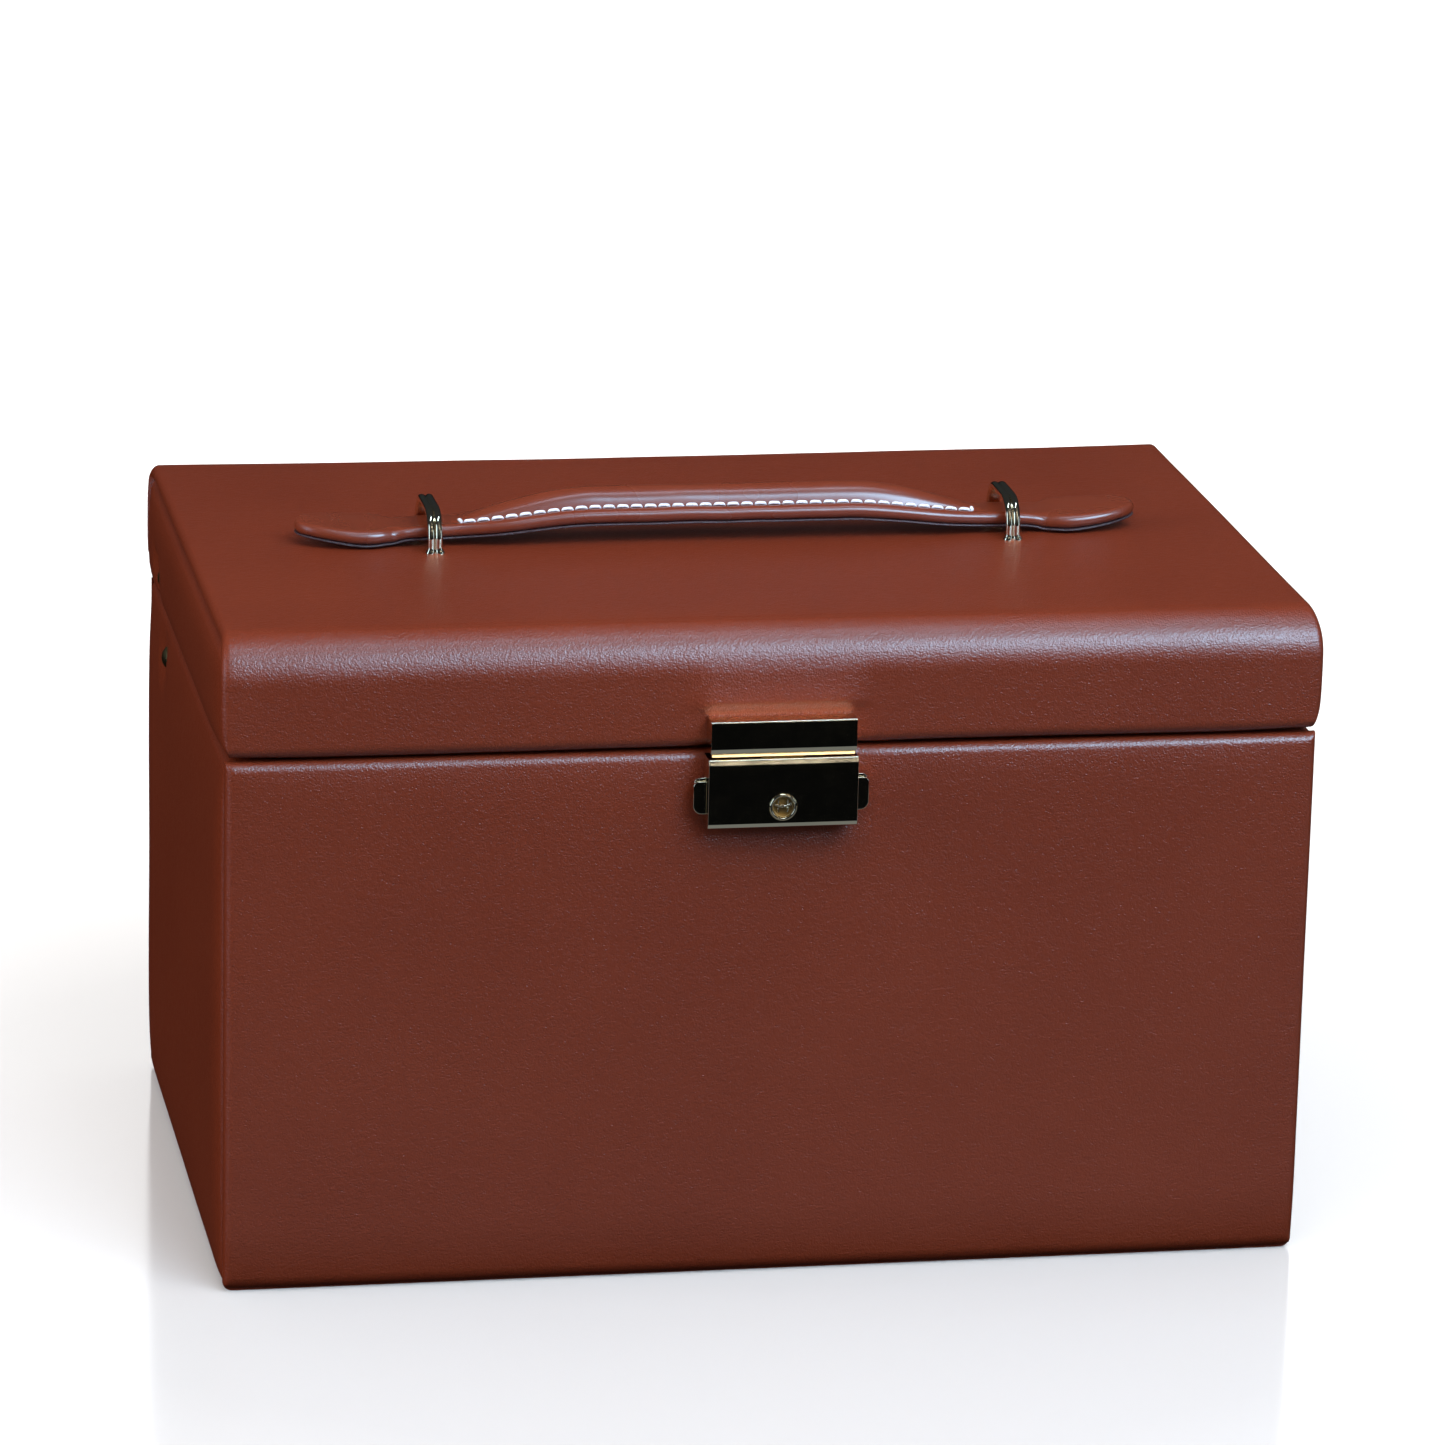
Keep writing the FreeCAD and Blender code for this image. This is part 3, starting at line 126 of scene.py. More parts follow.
def link_group(name, items, state):
    """A group for light linking: a light reaches only these items, or with EXCLUDE all but these."""
    group = bpy.data.collections.new(name)
    for item in items:
        group.objects.link(item)
    for entry in group.collection_objects:
        entry.light_linking.link_state = state
    return group


def glow_material(name, colour, strength):
    """A plain glowing surface."""
    material = bpy.data.materials.new(name)
    material.use_nodes = True
    nodes = material.node_tree.nodes
    nodes.clear()
    glow = nodes.new("ShaderNodeEmission")
    glow.inputs["Color"].default_value = (*colour, 1)
    glow.inputs["Strength"].default_value = strength
    out = nodes.new("ShaderNodeOutputMaterial")
    material.node_tree.links.new(glow.outputs[0], out.inputs[0])
    material.cycles.emission_sampling = "NONE"
    return material


def reflected_only(name, points, faces, material):
    """A studio surface that shows in reflections and nowhere else."""
    mesh = bpy.data.meshes.new(name)
    mesh.from_pydata(points, [], faces)
    mesh.materials.append(material)
    item = bpy.data.objects.new(name, mesh)
    item.visible_camera = False
    item.visible_diffuse = False
    item.visible_shadow = False
    item.visible_transmission = False
    bpy.context.scene.collection.objects.link(item)
    return item


def make_world():
    """White behind the camera's view, soft light that comes from above, and a dark room in reflections."""
    world = bpy.data.worlds.new("surround")
    world.use_nodes = True
    nodes, links = world.node_tree.nodes, world.node_tree.links
    nodes.clear()
    path = nodes.new("ShaderNodeLightPath")
    direction = nodes.new("ShaderNodeTexCoord")
    parts = nodes.new("ShaderNodeSeparateXYZ")
    fall = nodes.new("ShaderNodeMapRange")
    for key, value in (("From Min", -0.25), ("From Max", 0.9), ("To Min", 0.05), ("To Max", SKY_LIGHT)):
        fall.inputs[key].default_value = value
    room = nodes.new("ShaderNodeMapRange")
    for key, value in (("From Min", -0.05), ("From Max", 0.2), ("To Min", 0.003), ("To Max", ROOM_GLOW)):
        room.inputs[key].default_value = value
    links.new(direction.outputs["Generated"], parts.inputs[0])
    links.new(parts.outputs["Z"], fall.inputs["Value"])
    links.new(parts.outputs["Z"], room.inputs["Value"])
    backgrounds = []
    for colour, strength in (((0.97, 0.98, 1.0), 1.0), ((0.75, 0.88, 1.0), 0.03), ((1, 1, 1), 1.0)):
        item = nodes.new("ShaderNodeBackground")
        item.inputs["Color"].default_value = (*colour, 1)
        item.inputs["Strength"].default_value = strength
        backgrounds.append(item)
    soft, dark, seen = backgrounds
    links.new(fall.outputs["Result"], soft.inputs["Strength"])
    links.new(room.outputs["Result"], dark.inputs["Strength"])
    glossy = nodes.new("ShaderNodeMixShader")
    camera = nodes.new("ShaderNodeMixShader")
    out = nodes.new("ShaderNodeOutputWorld")
    links.new(path.outputs["Is Glossy Ray"], glossy.inputs[0])
    links.new(soft.outputs[0], glossy.inputs[1])
    links.new(dark.outputs[0], glossy.inputs[2])
    links.new(path.outputs["Is Camera Ray"], camera.inputs[0])
    links.new(glossy.outputs[0], camera.inputs[1])
    links.new(seen.outputs[0], camera.inputs[2])
    links.new(camera.outputs[0], out.inputs[0])
    bpy.context.scene.world = world


def floor_material():
    """Pale, slightly glossy, and brighter away from the object."""
    material = bpy.data.materials.new("floor")
    material.use_nodes = True
    tree = material.node_tree
    shader = tree.nodes["Principled BSDF"]
    shader.inputs["Base Color"].default_value = (*FLOOR_COLOUR, 1)
    shader.inputs["Roughness"].default_value = 0.12
    shader.inputs["Emission Color"].default_value = (1, 1, 1, 1)
    place = tree.nodes.new("ShaderNodeTexCoord")
    length = tree.nodes.new("ShaderNodeVectorMath")
    length.operation = "LENGTH"
    fade = tree.nodes.new("ShaderNodeMapRange")
    for key, value in (("From Min", 0.2), ("From Max", 1.1), ("To Min", 0.11), ("To Max", 1.0)):
        fade.inputs[key].default_value = value
    tree.links.new(place.outputs["Object"], length.inputs[0])
    tree.links.new(length.outputs["Value"], fade.inputs["Value"])
    tree.links.new(fade.outputs["Result"], shader.inputs["Emission Strength"])
    return material


def make_floor():
    """The floor, and a white ring that only the floor reflects."""
    reach = 12
    corners = [(-reach, -reach, 0), (reach, -reach, 0), (reach, reach, 0), (-reach, reach, 0)]
    mesh = bpy.data.meshes.new("floor")
    mesh.from_pydata(corners, [], [(0, 1, 2, 3)])
    mesh.materials.append(floor_material())
    floor = bpy.data.objects.new("floor", mesh)
    floor.visible_glossy = False
    floor.visible_diffuse = False
    bpy.context.scene.collection.objects.link(floor)
    only_floor = link_group("floor_only", [floor], "INCLUDE")
    count, radius, size = 6, 6, (7.0, 4.0)
    power = FLOOR_GLOW * math.pi * size[0] * size[1]
    for step in range(count):
        turn = 2 * math.pi * (step + 0.5) / count
        place = (radius * math.cos(turn), radius * math.sin(turn), size[1] / 2)
        panel = area_light(f"floor_panel_{step}", place, (0, 0, size[1] / 2), size, power, diffuse=False)
        panel.light_linking.receiver_collection = only_floor


SOFTBOX_TINT = (0.54, 0.75, 1.0)
DEEP_TINT = (0.40, 0.72, 1.0)
METAL_TINT = (1.0, 0.93, 0.80)
SKY_LIGHT = 0.75
ROOM_GLOW = 0.03
FLOOR_COLOUR = (0.60, 0.56, 0.53)
FLOOR_GLOW = 2.0


def make_lights():
    """A big cool softbox in front and above, soft light from overhead and behind, and strips at the sides."""
    key, target, key_size = (0.60, -1.35, 1.28), (0.05, -0.08, 0.14), (1.3, 1.05)
    left, left_target = (-1.1, -0.45, 0.42), (-0.1, -0.05, 0.1)
    white = (1, 1, 1)
    soft, shine, both = {"glossy": False}, {"diffuse": False}, {}
    for name, place, aim, size, power, colour, seen in (
        ("key_softbox", key, target, key_size, 30, SOFTBOX_TINT, soft),
        ("key_gloss", key, target, key_size, 19, SOFTBOX_TINT, shine),
        ("key_right", (0.86, -1.36, 1.28), target, (1.0, 0.9), 68, DEEP_TINT, shine),
        ("metal_gloss", key, target, key_size, 150, METAL_TINT, shine),
        ("back_fill", (0.5, 1.7, 0.35), (0, 0.085, 0.08), (0.9, 0.5), 14, white, soft),
        ("overhead", (0.1, -0.45, 0.85), (0, -0.07, 0.1), (1.0, 0.5), 5, white, soft),
        ("left_strip", left, left_target, (0.35, 0.9), 3.2, SOFTBOX_TINT, both),
        ("left_gloss", left, left_target, (0.3, 0.9), 4.5, DEEP_TINT, shine),
        ("top_strip", (0.15, -0.32, 1.5), (0, -0.08, 0.16), (0.9, 0.12), 5, SOFTBOX_TINT, shine),
        ("left_fill", (-1.6, -0.2, 0.7), (-0.1, 0, 0.08), (0.8, 0.8), 13, white, soft),
        ("right_strip", (1.3, -0.75, 0.35), (0.1, 0, 0.12), (0.25, 0.7), 1.2, SOFTBOX_TINT, shine),
    ):
        area_light(name, place, aim, size, power, colour, **seen)
    near_floor = [(-0.5, -0.30, -0.001), (0.5, -0.30, -0.001), (0.5, -0.10, -0.001), (-0.5, -0.10, -0.001)]
    glow = glow_material("near_floor", (0.8, 0.9, 1.0), 0.22)
    reflected_only("near_floor", near_floor, [(0, 1, 2, 3)], glow)


def make_studio():
    """Everything round the object that lights it."""
    bpy.context.scene.view_settings.view_transform = "Standard"
    make_world()
    make_floor()
    make_lights()


# --- Materials ---


class Shader:
    """A principled material and short ways to add nodes to it."""

    def __init__(self, name):
        self.material = bpy.data.materials.new(name)
        self.material.use_nodes = True
        self.tree = self.material.node_tree
        self.main = self.tree.nodes["Principled BSDF"]
        self.place = self.node("TexCoord").outputs["Object"]

    def node(self, kind, **values):
        item = self.tree.nodes.new("ShaderNode" + kind)
        for key, value in values.items():
            setattr(item, key, value)
        return item

    def link(self, source, target):
        self.tree.links.new(source, target)

    def set(self, **values):
        for key, value in values.items():
            self.main.inputs[key.replace("_", " ")].default_value = value

    def noise(self, scale, detail=3.0, rough=0.55, place=None):
        item = self.node("TexNoise")
        item.inputs["Scale"].default_value = scale
        item.inputs["Detail"].default_value = detail
        item.inputs["Roughness"].default_value = rough
        self.link(place or self.place, item.inputs["Vector"])
        return item.outputs["Fac"]

    def stretched(self, stretch):
        item = self.node("Mapping")
        item.inputs["Scale"].default_value = stretch
        self.link(self.place, item.inputs["Vector"])
        return item.outputs["Vector"]

    def cells(self, scale, feature="F1", place=None):
        item = self.node("TexVoronoi", feature=feature)
        item.inputs["Scale"].default_value = scale
        self.link(place or self.place, item.inputs["Vector"])
        return item.outputs["Distance"]

    def spread(self, source, low, high, to_low=0.0, to_high=1.0):
        item = self.node("MapRange")
        for key, value in zip(("From Min", "From Max", "To Min", "To Max"), (low, high, to_low, to_high)):
            item.inputs[key].default_value = value
        self.link(source, item.inputs["Value"])
        return item.outputs["Result"]

    def mixed(self, amount, one, two):
        item = self.node("Mix", data_type="RGBA")
        self.link(amount, item.inputs["Factor"])
        for key, value in (("A", one), ("B", two)):
            target = [socket for socket in item.inputs if socket.name == key and socket.type == "RGBA"][0]
            if isinstance(value, tuple):
                target.default_value = (*value, 1)
            else:
                self.link(value, target)
        return [socket for socket in item.outputs if socket.type == "RGBA"][0]

    def bump(self, source, strength, depth, before=None):
        item = self.node("Bump")
        item.inputs["Strength"].default_value = strength
        item.inputs["Distance"].default_value = depth
        self.link(source, item.inputs["Height"])
        if before is not None:
            self.link(before, item.inputs["Normal"])
        return item.outputs["Normal"]


def leather(name, light, dark, rough=0.31, grain=2000, grain_depth=0.000075, wear=900):
    """Finished leather: pebbled grain, short faint creases and soft changes of colour."""
    s = Shader(name)
    cloud = s.spread(s.noise(14, 4), 0.3, 0.7)
    worn = s.spread(s.noise(wear, 2), 0.35, 0.75, 0.0, 0.3)
    base = s.mixed(worn, s.mixed(cloud, dark, light), tuple(value * 1.12 for value in light))
    s.link(base, s.main.inputs["Base Color"])
    shine = s.spread(s.noise(wear * 0.55, 2), 0.3, 0.7, rough - 0.015, rough + 0.025)
    s.link(shine, s.main.inputs["Roughness"])
    pebbles = s.spread(s.cells(grain), 0.08, 0.6)
    grain_bump = s.bump(pebbles, 1.0, grain_depth * 0.6)
    crease = s.bump(s.noise(1750, 3, 0.6, s.stretched((0.7, 1.0, 1.0))), 1.0, grain_depth * 1.8, grain_bump)
    fold = s.bump(s.noise(480, 2, 0.5), 1.0, grain_depth * 1.0, crease)
    soft = s.bump(s.noise(45, 2), 0.12, 0.0004, fold)
    if grain_depth:
        s.link(soft, s.main.inputs["Normal"])
    s.set(Specular_IOR_Level=0.5, Coat_Weight=0.12, Coat_Roughness=0.22)
    return s.material


def metal(name, colour, rough=0.09, scratch=0.02):
    """Polished plated metal with faint wear."""
    s = Shader(name)
    s.set(Metallic=1.0)
    wear = s.spread(s.noise(90, 4), 0.35, 0.7)
    s.link(s.mixed(wear, colour, tuple(value * 0.93 for value in colour)), s.main.inputs["Base Color"])
    s.link(s.spread(s.noise(300, 4), 0.3, 0.7, rough - scratch, rough + scratch), s.main.inputs["Roughness"])
    s.link(s.bump(s.noise(700, 3), 0.08, 0.00003), s.main.inputs["Normal"])
    return s.material


def thread_material():
    """Twisted waxed thread."""
    s = Shader("thread")
    strands = s.noise(2600, 2, 0.5, s.stretched((1.0, 1.0, 1.0)))
    twist = s.spread(strands, 0.35, 0.65)
    s.link(s.mixed(twist, (0.62, 0.64, 0.74), (0.9, 0.9, 0.93)), s.main.inputs["Base Color"])
    s.link(s.bump(strands, 0.5, 0.0001), s.main.inputs["Normal"])
    s.set(Roughness=0.55, Sheen_Weight=0.2)
    return s.material


def velvet(name, colour):
    """Short-pile velvet with soft patches where the nap lies differently."""
    s = Shader(name)
    nap = s.spread(s.noise(30, 3), 0.35, 0.65)
    fibre = s.noise(2500, 2)
    shade = s.mixed(nap, tuple(value * 0.82 for value in colour), colour)
    s.link(shade, s.main.inputs["Base Color"])
    s.link(s.bump(fibre, 0.6, 0.00025), s.main.inputs["Normal"])
    s.set(Roughness=0.92, Sheen_Weight=0.6, Sheen_Roughness=0.4)
    return s.material


def fibre_board():
    """Bare fibre board."""
    s = Shader("board")
    s.link(s.mixed(s.spread(s.noise(400, 4), 0.3, 0.7), (0.3, 0.2, 0.12), (0.42, 0.3, 0.19)),
           s.main.inputs["Base Color"])
    s.link(s.bump(s.noise(900, 3), 0.4, 0.0002), s.main.inputs["Normal"])
    s.set(Roughness=0.85)
    return s.material


def mirror_material():
    """Silvered glass, only partly metallic: the rest is a pale diffuse grey, a painted reflection so the glass
    never looks black.
    """
    s = Shader("mirror")
    # Only 0.6 metallic: the pale grey diffuse share is a painted reflection.
    s.set(Metallic=0.6)
    s.link(s.mixed(s.spread(s.noise(8, 2), 0.3, 0.7), (0.86, 0.88, 0.88), (0.9, 0.91, 0.91)),
           s.main.inputs["Base Color"])
    s.link(s.spread(s.noise(40, 2), 0.3, 0.7, 0.01, 0.03), s.main.inputs["Roughness"])
    return s.material


LEATHER = leather("case_leather", (0.166, 0.0265, 0.0088), (0.144, 0.0215, 0.0068))
STRAP_LEATHER = leather("strap_leather", (0.165, 0.030, 0.012), (0.135, 0.024, 0.0095), 0.27, 2000, 0, 60)
# The sole: a dark raw leather edge, darkened further as painted shade under the strap's middle.
SOLE_AND_PAINTED_SHADE = leather("strap_edge_and_painted_shade", (0.07, 0.03, 0.035), (0.02, 0.008, 0.008), 0.5, 1500, 0.0002)
GOLD = metal("gold_brass", (0.88, 0.78, 0.58), 0.07)
SATIN_GOLD = metal("satin_gold", (0.80, 0.60, 0.32), 0.32, 0.05)
RIVET_BRASS = metal("rivet_brass", (0.62, 0.47, 0.22), 0.3, 0.05)
# Brass of the key plug, darkened as painted shade for its recess inside the ring.
KEYWAY_BRASS_PAINTED_SHADE = metal("keyway_brass_painted_shade", (0.24, 0.18, 0.08), 0.35, 0.05)
STEEL = metal("steel", (0.62, 0.6, 0.56), 0.22, 0.05)
THREAD = thread_material()
VELVET = velvet("velvet", (0.50, 0.40, 0.29))
FELT = velvet("felt", (0.05, 0.032, 0.026))
BOARD = fibre_board()
# Mirror: part real reflection, part painted reflection in pale diffuse grey.
MIRROR_PAINTED_REFLECTION = mirror_material()

# --- Mesh helpers ---


def mesh_object(name, points, faces, material, smooth_angle=40):
    """A closed mesh with outward faces, smooth except at sharp edges."""
    mesh = bpy.data.meshes.new(name)
    mesh.from_pydata(points, [], faces)
    work = bmesh.new()
    work.from_mesh(mesh)
    bmesh.ops.remove_doubles(work, verts=work.verts, dist=1e-7)
    bmesh.ops.recalc_face_normals(work, faces=work.faces)
    work.to_mesh(mesh)
    work.free()
    mesh.shade_smooth()
    mesh.set_sharp_from_angle(angle=math.radians(smooth_angle))
    mesh.materials.append(material)
    item = bpy.data.objects.new(name, mesh)
    bpy.context.scene.collection.objects.link(item)
    return item


def two_sheets(rows, columns):
    """Faces of a grid of points and of its copy behind it."""
    count = rows * columns
    faces = []
    for i in range(rows - 1):
        for j in range(columns - 1):
            one, two = i * columns + j, (i + 1) * columns + j
            quad = (one, two, two + 1, one + 1)
            faces += [quad, tuple(count + number for number in reversed(quad))]
    return faces


def ring_faces(rings, around):
    """Faces between rings of points, with one face over each end."""
    faces = []
    for i in range(rings - 1):
        here, there = i * around, (i + 1) * around
        for j in range(around):
            k = (j + 1) % around
            faces.append((here + j, there + j, there + k, here + k))
    return faces + [tuple(range(around)), tuple(range((rings - 1) * around, rings * around))]


def joined(name, items):
    """Several mesh objects made into one."""
    bpy.ops.object.select_all(action="DESELECT")
    for item in items:
        item.select_set(True)
    bpy.context.view_layer.objects.active = items[0]
    bpy.ops.object.join()
    result = bpy.context.view_layer.objects.active
    result.name = name
    result.data.name = name
    return result


def finish_piece(item, body, slot, *nodes, fill=None):
    """Fasten a piece to its body and hide the CAD nodes it stands for; the slot is not used."""
    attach(item, body)
    if nodes:
        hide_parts(*nodes)
    return item


def stops(low, high, round_low, round_high, pitch, count=6):
    """Places along a line, crowded where its ends are rounded."""
    inside_low = low + round_low
    inside_high = high - round_high
    places = [low + round_low * (1 - math.cos(step / count * math.pi / 2)) for step in range(count)]
    middle = max(2, round((inside_high - inside_low) / pitch))
    places += [inside_low + (inside_high - inside_low) * step / middle for step in range(middle + 1)]
    ease = [1 - math.cos(step / count * math.pi / 2) for step in reversed(range(count))]
    return places + [high - round_high * share for share in ease]


def edge_drop(distance, radius):
    """How far a rounded edge lies under the flat face at a distance from the rim."""
    if distance >= radius:
        return 0.0
    return radius - math.sqrt(max(0.0, radius * radius - (radius - distance) ** 2))


def smooth(value):
    """A smooth step from 0 to 1."""
    value = min(1.0, max(0.0, value))
    return value * value * (3 - 2 * value)


def bow_corner(u, v, centre, radius, way):
    """Move points of a square corner into a round one: way gives the corner's direction."""
    a = (u - centre[0]) * way[0] / radius
    b = (v - centre[1]) * way[1] / radius
    if a <= 0 or b <= 0:
        return u, v
    return (
        centre[0] + way[0] * radius * a * math.sqrt(1 - b * b / 2),
        centre[1] + way[1] * radius * b * math.sqrt(1 - a * a / 2),
    )


def pad_mesh(name, low, high, place, thick, rounds, material, crown=None, corners=(), pitch=3.5 * MM):
    """A padded panel: a grid over a rectangle, with rounded rims, a crown and a flat back.

    rounds holds the rim radii at the low and high ends of both axes, and corners holds (way, radius) pairs.
    """
    us = stops(low[0], high[0], rounds[0], rounds[1], pitch)
    vs = stops(low[1], high[1], rounds[2], rounds[3], pitch)
    tops, backs = [], []
    for u in us:
        for v in vs:
            drop = max(
                edge_drop(u - low[0], rounds[0]), edge_drop(high[0] - u, rounds[1]),
                edge_drop(v - low[1], rounds[2]), edge_drop(high[1] - v, rounds[3]),
            )
            a, b = u, v
            for way, radius in corners:
                centre = (
                    (high[0] if way[0] > 0 else low[0]) - way[0] * radius,
                    (high[1] if way[1] > 0 else low[1]) - way[1] * radius,
                )
                a, b = bow_corner(a, b, centre, radius, way)
            rise = crown(u, v) if crown else 0.0
            tops.append(place(a, b, thick - drop + rise))
            backs.append(place(a, b, 0.0))
    rows, columns = len(us), len(vs)
    count = rows * columns
    faces = two_sheets(rows, columns)
    rim = [i * columns for i in range(rows)]
    rim += [(rows - 1) * columns + j for j in range(1, columns)]
    rim += [i * columns + columns - 1 for i in range(rows - 2, -1, -1)]
    rim += [j for j in range(columns - 2, 0, -1)]
    for one, two in zip(rim, rim[1:] + rim[:1]):
        faces.append((one, two, count + two, count + one))
    return mesh_object(name, tops + backs, faces, material)


def dent(u, v, low, high, reach):
    """1 at a rectangle's edge and inside it, falling away outside over a reach."""
    off_u = max(low[0] - u, 0, u - high[0])
    off_v = max(low[1] - v, 0, v - high[1])
    return math.exp(-(off_u * off_u + off_v * off_v) / (reach * reach))


def wave(place, scale, depth):
    """Slow hand-made unevenness."""
    return depth * noise.noise(Vector(place) * scale)


# --- Leather shell ---

CORNER = 2.2 * MM
RIM = 2.4 * MM
FOOT = 4.0 * MM
FRONT_ROUND = 11 * MM
BACK_ROUND = 4 * MM


def rim_fold(name, low, high):
    """The strip of leather turned over a rim."""
    return pad_mesh(
        name, (low[0], low[1]), (high[0], high[1]), lambda u, v, rise: (u, v, low[2] + rise),
        high[2] - low[2], (0.2 * MM,) * 4, LEATHER, pitch=12 * MM,
    )


def base_shell():
    """The base's four leather panels: front and back run the full width, the sides lie between them."""
    lock_low, lock_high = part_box("lock_housing")
    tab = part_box("release_tab_right")[1].x

    def front_crown(u, v):
        body = 0.35 * MM * smooth((HALF_X - abs(u)) / (18 * MM)) * smooth((BASE_RIM - v) / (9 * MM))
        body -= 0.9 * MM * (1 - smooth(v / (16 * MM)))
        pressed = 0.9 * MM * dent(u, v, (lock_low.x, lock_low.z), (lock_high.x, lock_high.z), 2.6 * MM)
        return body - pressed + wave((u, 3, v), 22, 0.16 * MM) + wave((u, 9, v), 60, 0.05 * MM)

    for end, way in (("front", -1), ("back", 1)):
        crown = front_crown if way < 0 else lambda u, v: wave((u, 5, v), 22, 0.2 * MM) + 0.2 * MM
        panel = pad_mesh(
            f"{end}_panel", (-HALF_X, 0), (HALF_X, BASE_RIM),
            lambda u, v, rise, way=way: (u, way * (BOARD_Y + rise), v), SKIN,
            (CORNER, CORNER, FOOT, RIM), LEATHER, crown, [((-1, -1), 2.5 * MM), ((1, -1), 2.5 * MM)],
        )
        span = sorted((way * BOARD_Y, way * INNER_Y))
        fold_low, fold_high = (-BOARD_X, span[0], BASE_RIM - FOLD), (BOARD_X, span[1], BASE_RIM - FOLD_GAP)
        item = joined(f"base_{end}_panel", [panel, rim_fold(f"{end}_fold", fold_low, fold_high)])
        finish_piece(item, "base", "case_leather", f"base_{end}_leather", fill=0.9)

    rivet_low, rivet_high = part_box("base_stay_rivets")

    def side_crown(u, v):
        along = 1 - (abs(u) / BOARD_Y) ** 20
        upright = 1 - abs(2 * v / BASE_RIM - 1) ** 8
        dip = dent(u, v, (rivet_low.y, rivet_low.z), (rivet_high.y, rivet_high.z), 3 * MM)
        return (1.7 * MM * along * upright + wave((u, 7, v), 24, 0.15 * MM)) * (1 - dip)

    gap = 0.25 * MM
    for side, sign in SIDES:
        panel = pad_mesh(
            f"{side}_panel", (-BOARD_Y + gap, 0), (BOARD_Y - gap, BASE_RIM),
            lambda u, v, rise, sign=sign: (sign * (BOARD_X + rise), u, v), SKIN,
            (1.6 * MM, 1.6 * MM, FOOT, RIM), LEATHER, side_crown,
        )
        span = sorted((sign * BOARD_X, sign * INNER_X))
        fold_low, fold_high = (span[0], -INNER_Y, BASE_RIM - FOLD), (span[1], INNER_Y, BASE_RIM - FOLD_GAP)
        item = joined(f"base_{side}_panel", [panel, rim_fold(f"{side}_fold", fold_low, fold_high)])
        finish_piece(item, "base", "case_leather", f"base_{side}_leather", fill=0.9)


def arc(centre, radius, start, end, count):
    """Points on an arc, angles in degrees from +Y towards +Z."""
    steps = [math.radians(start + (end - start) * step / count) for step in range(count + 1)]
    return [(centre[0] + radius * math.cos(a), centre[1] + radius * math.sin(a)) for a in steps]


def line(start, end, count):
    """Evenly spaced points on a straight run."""
    return [
        (start[0] + (end[0] - start[0]) * step / count, start[1] + (end[1] - start[1]) * step / count)
        for step in range(count + 1)
    ]


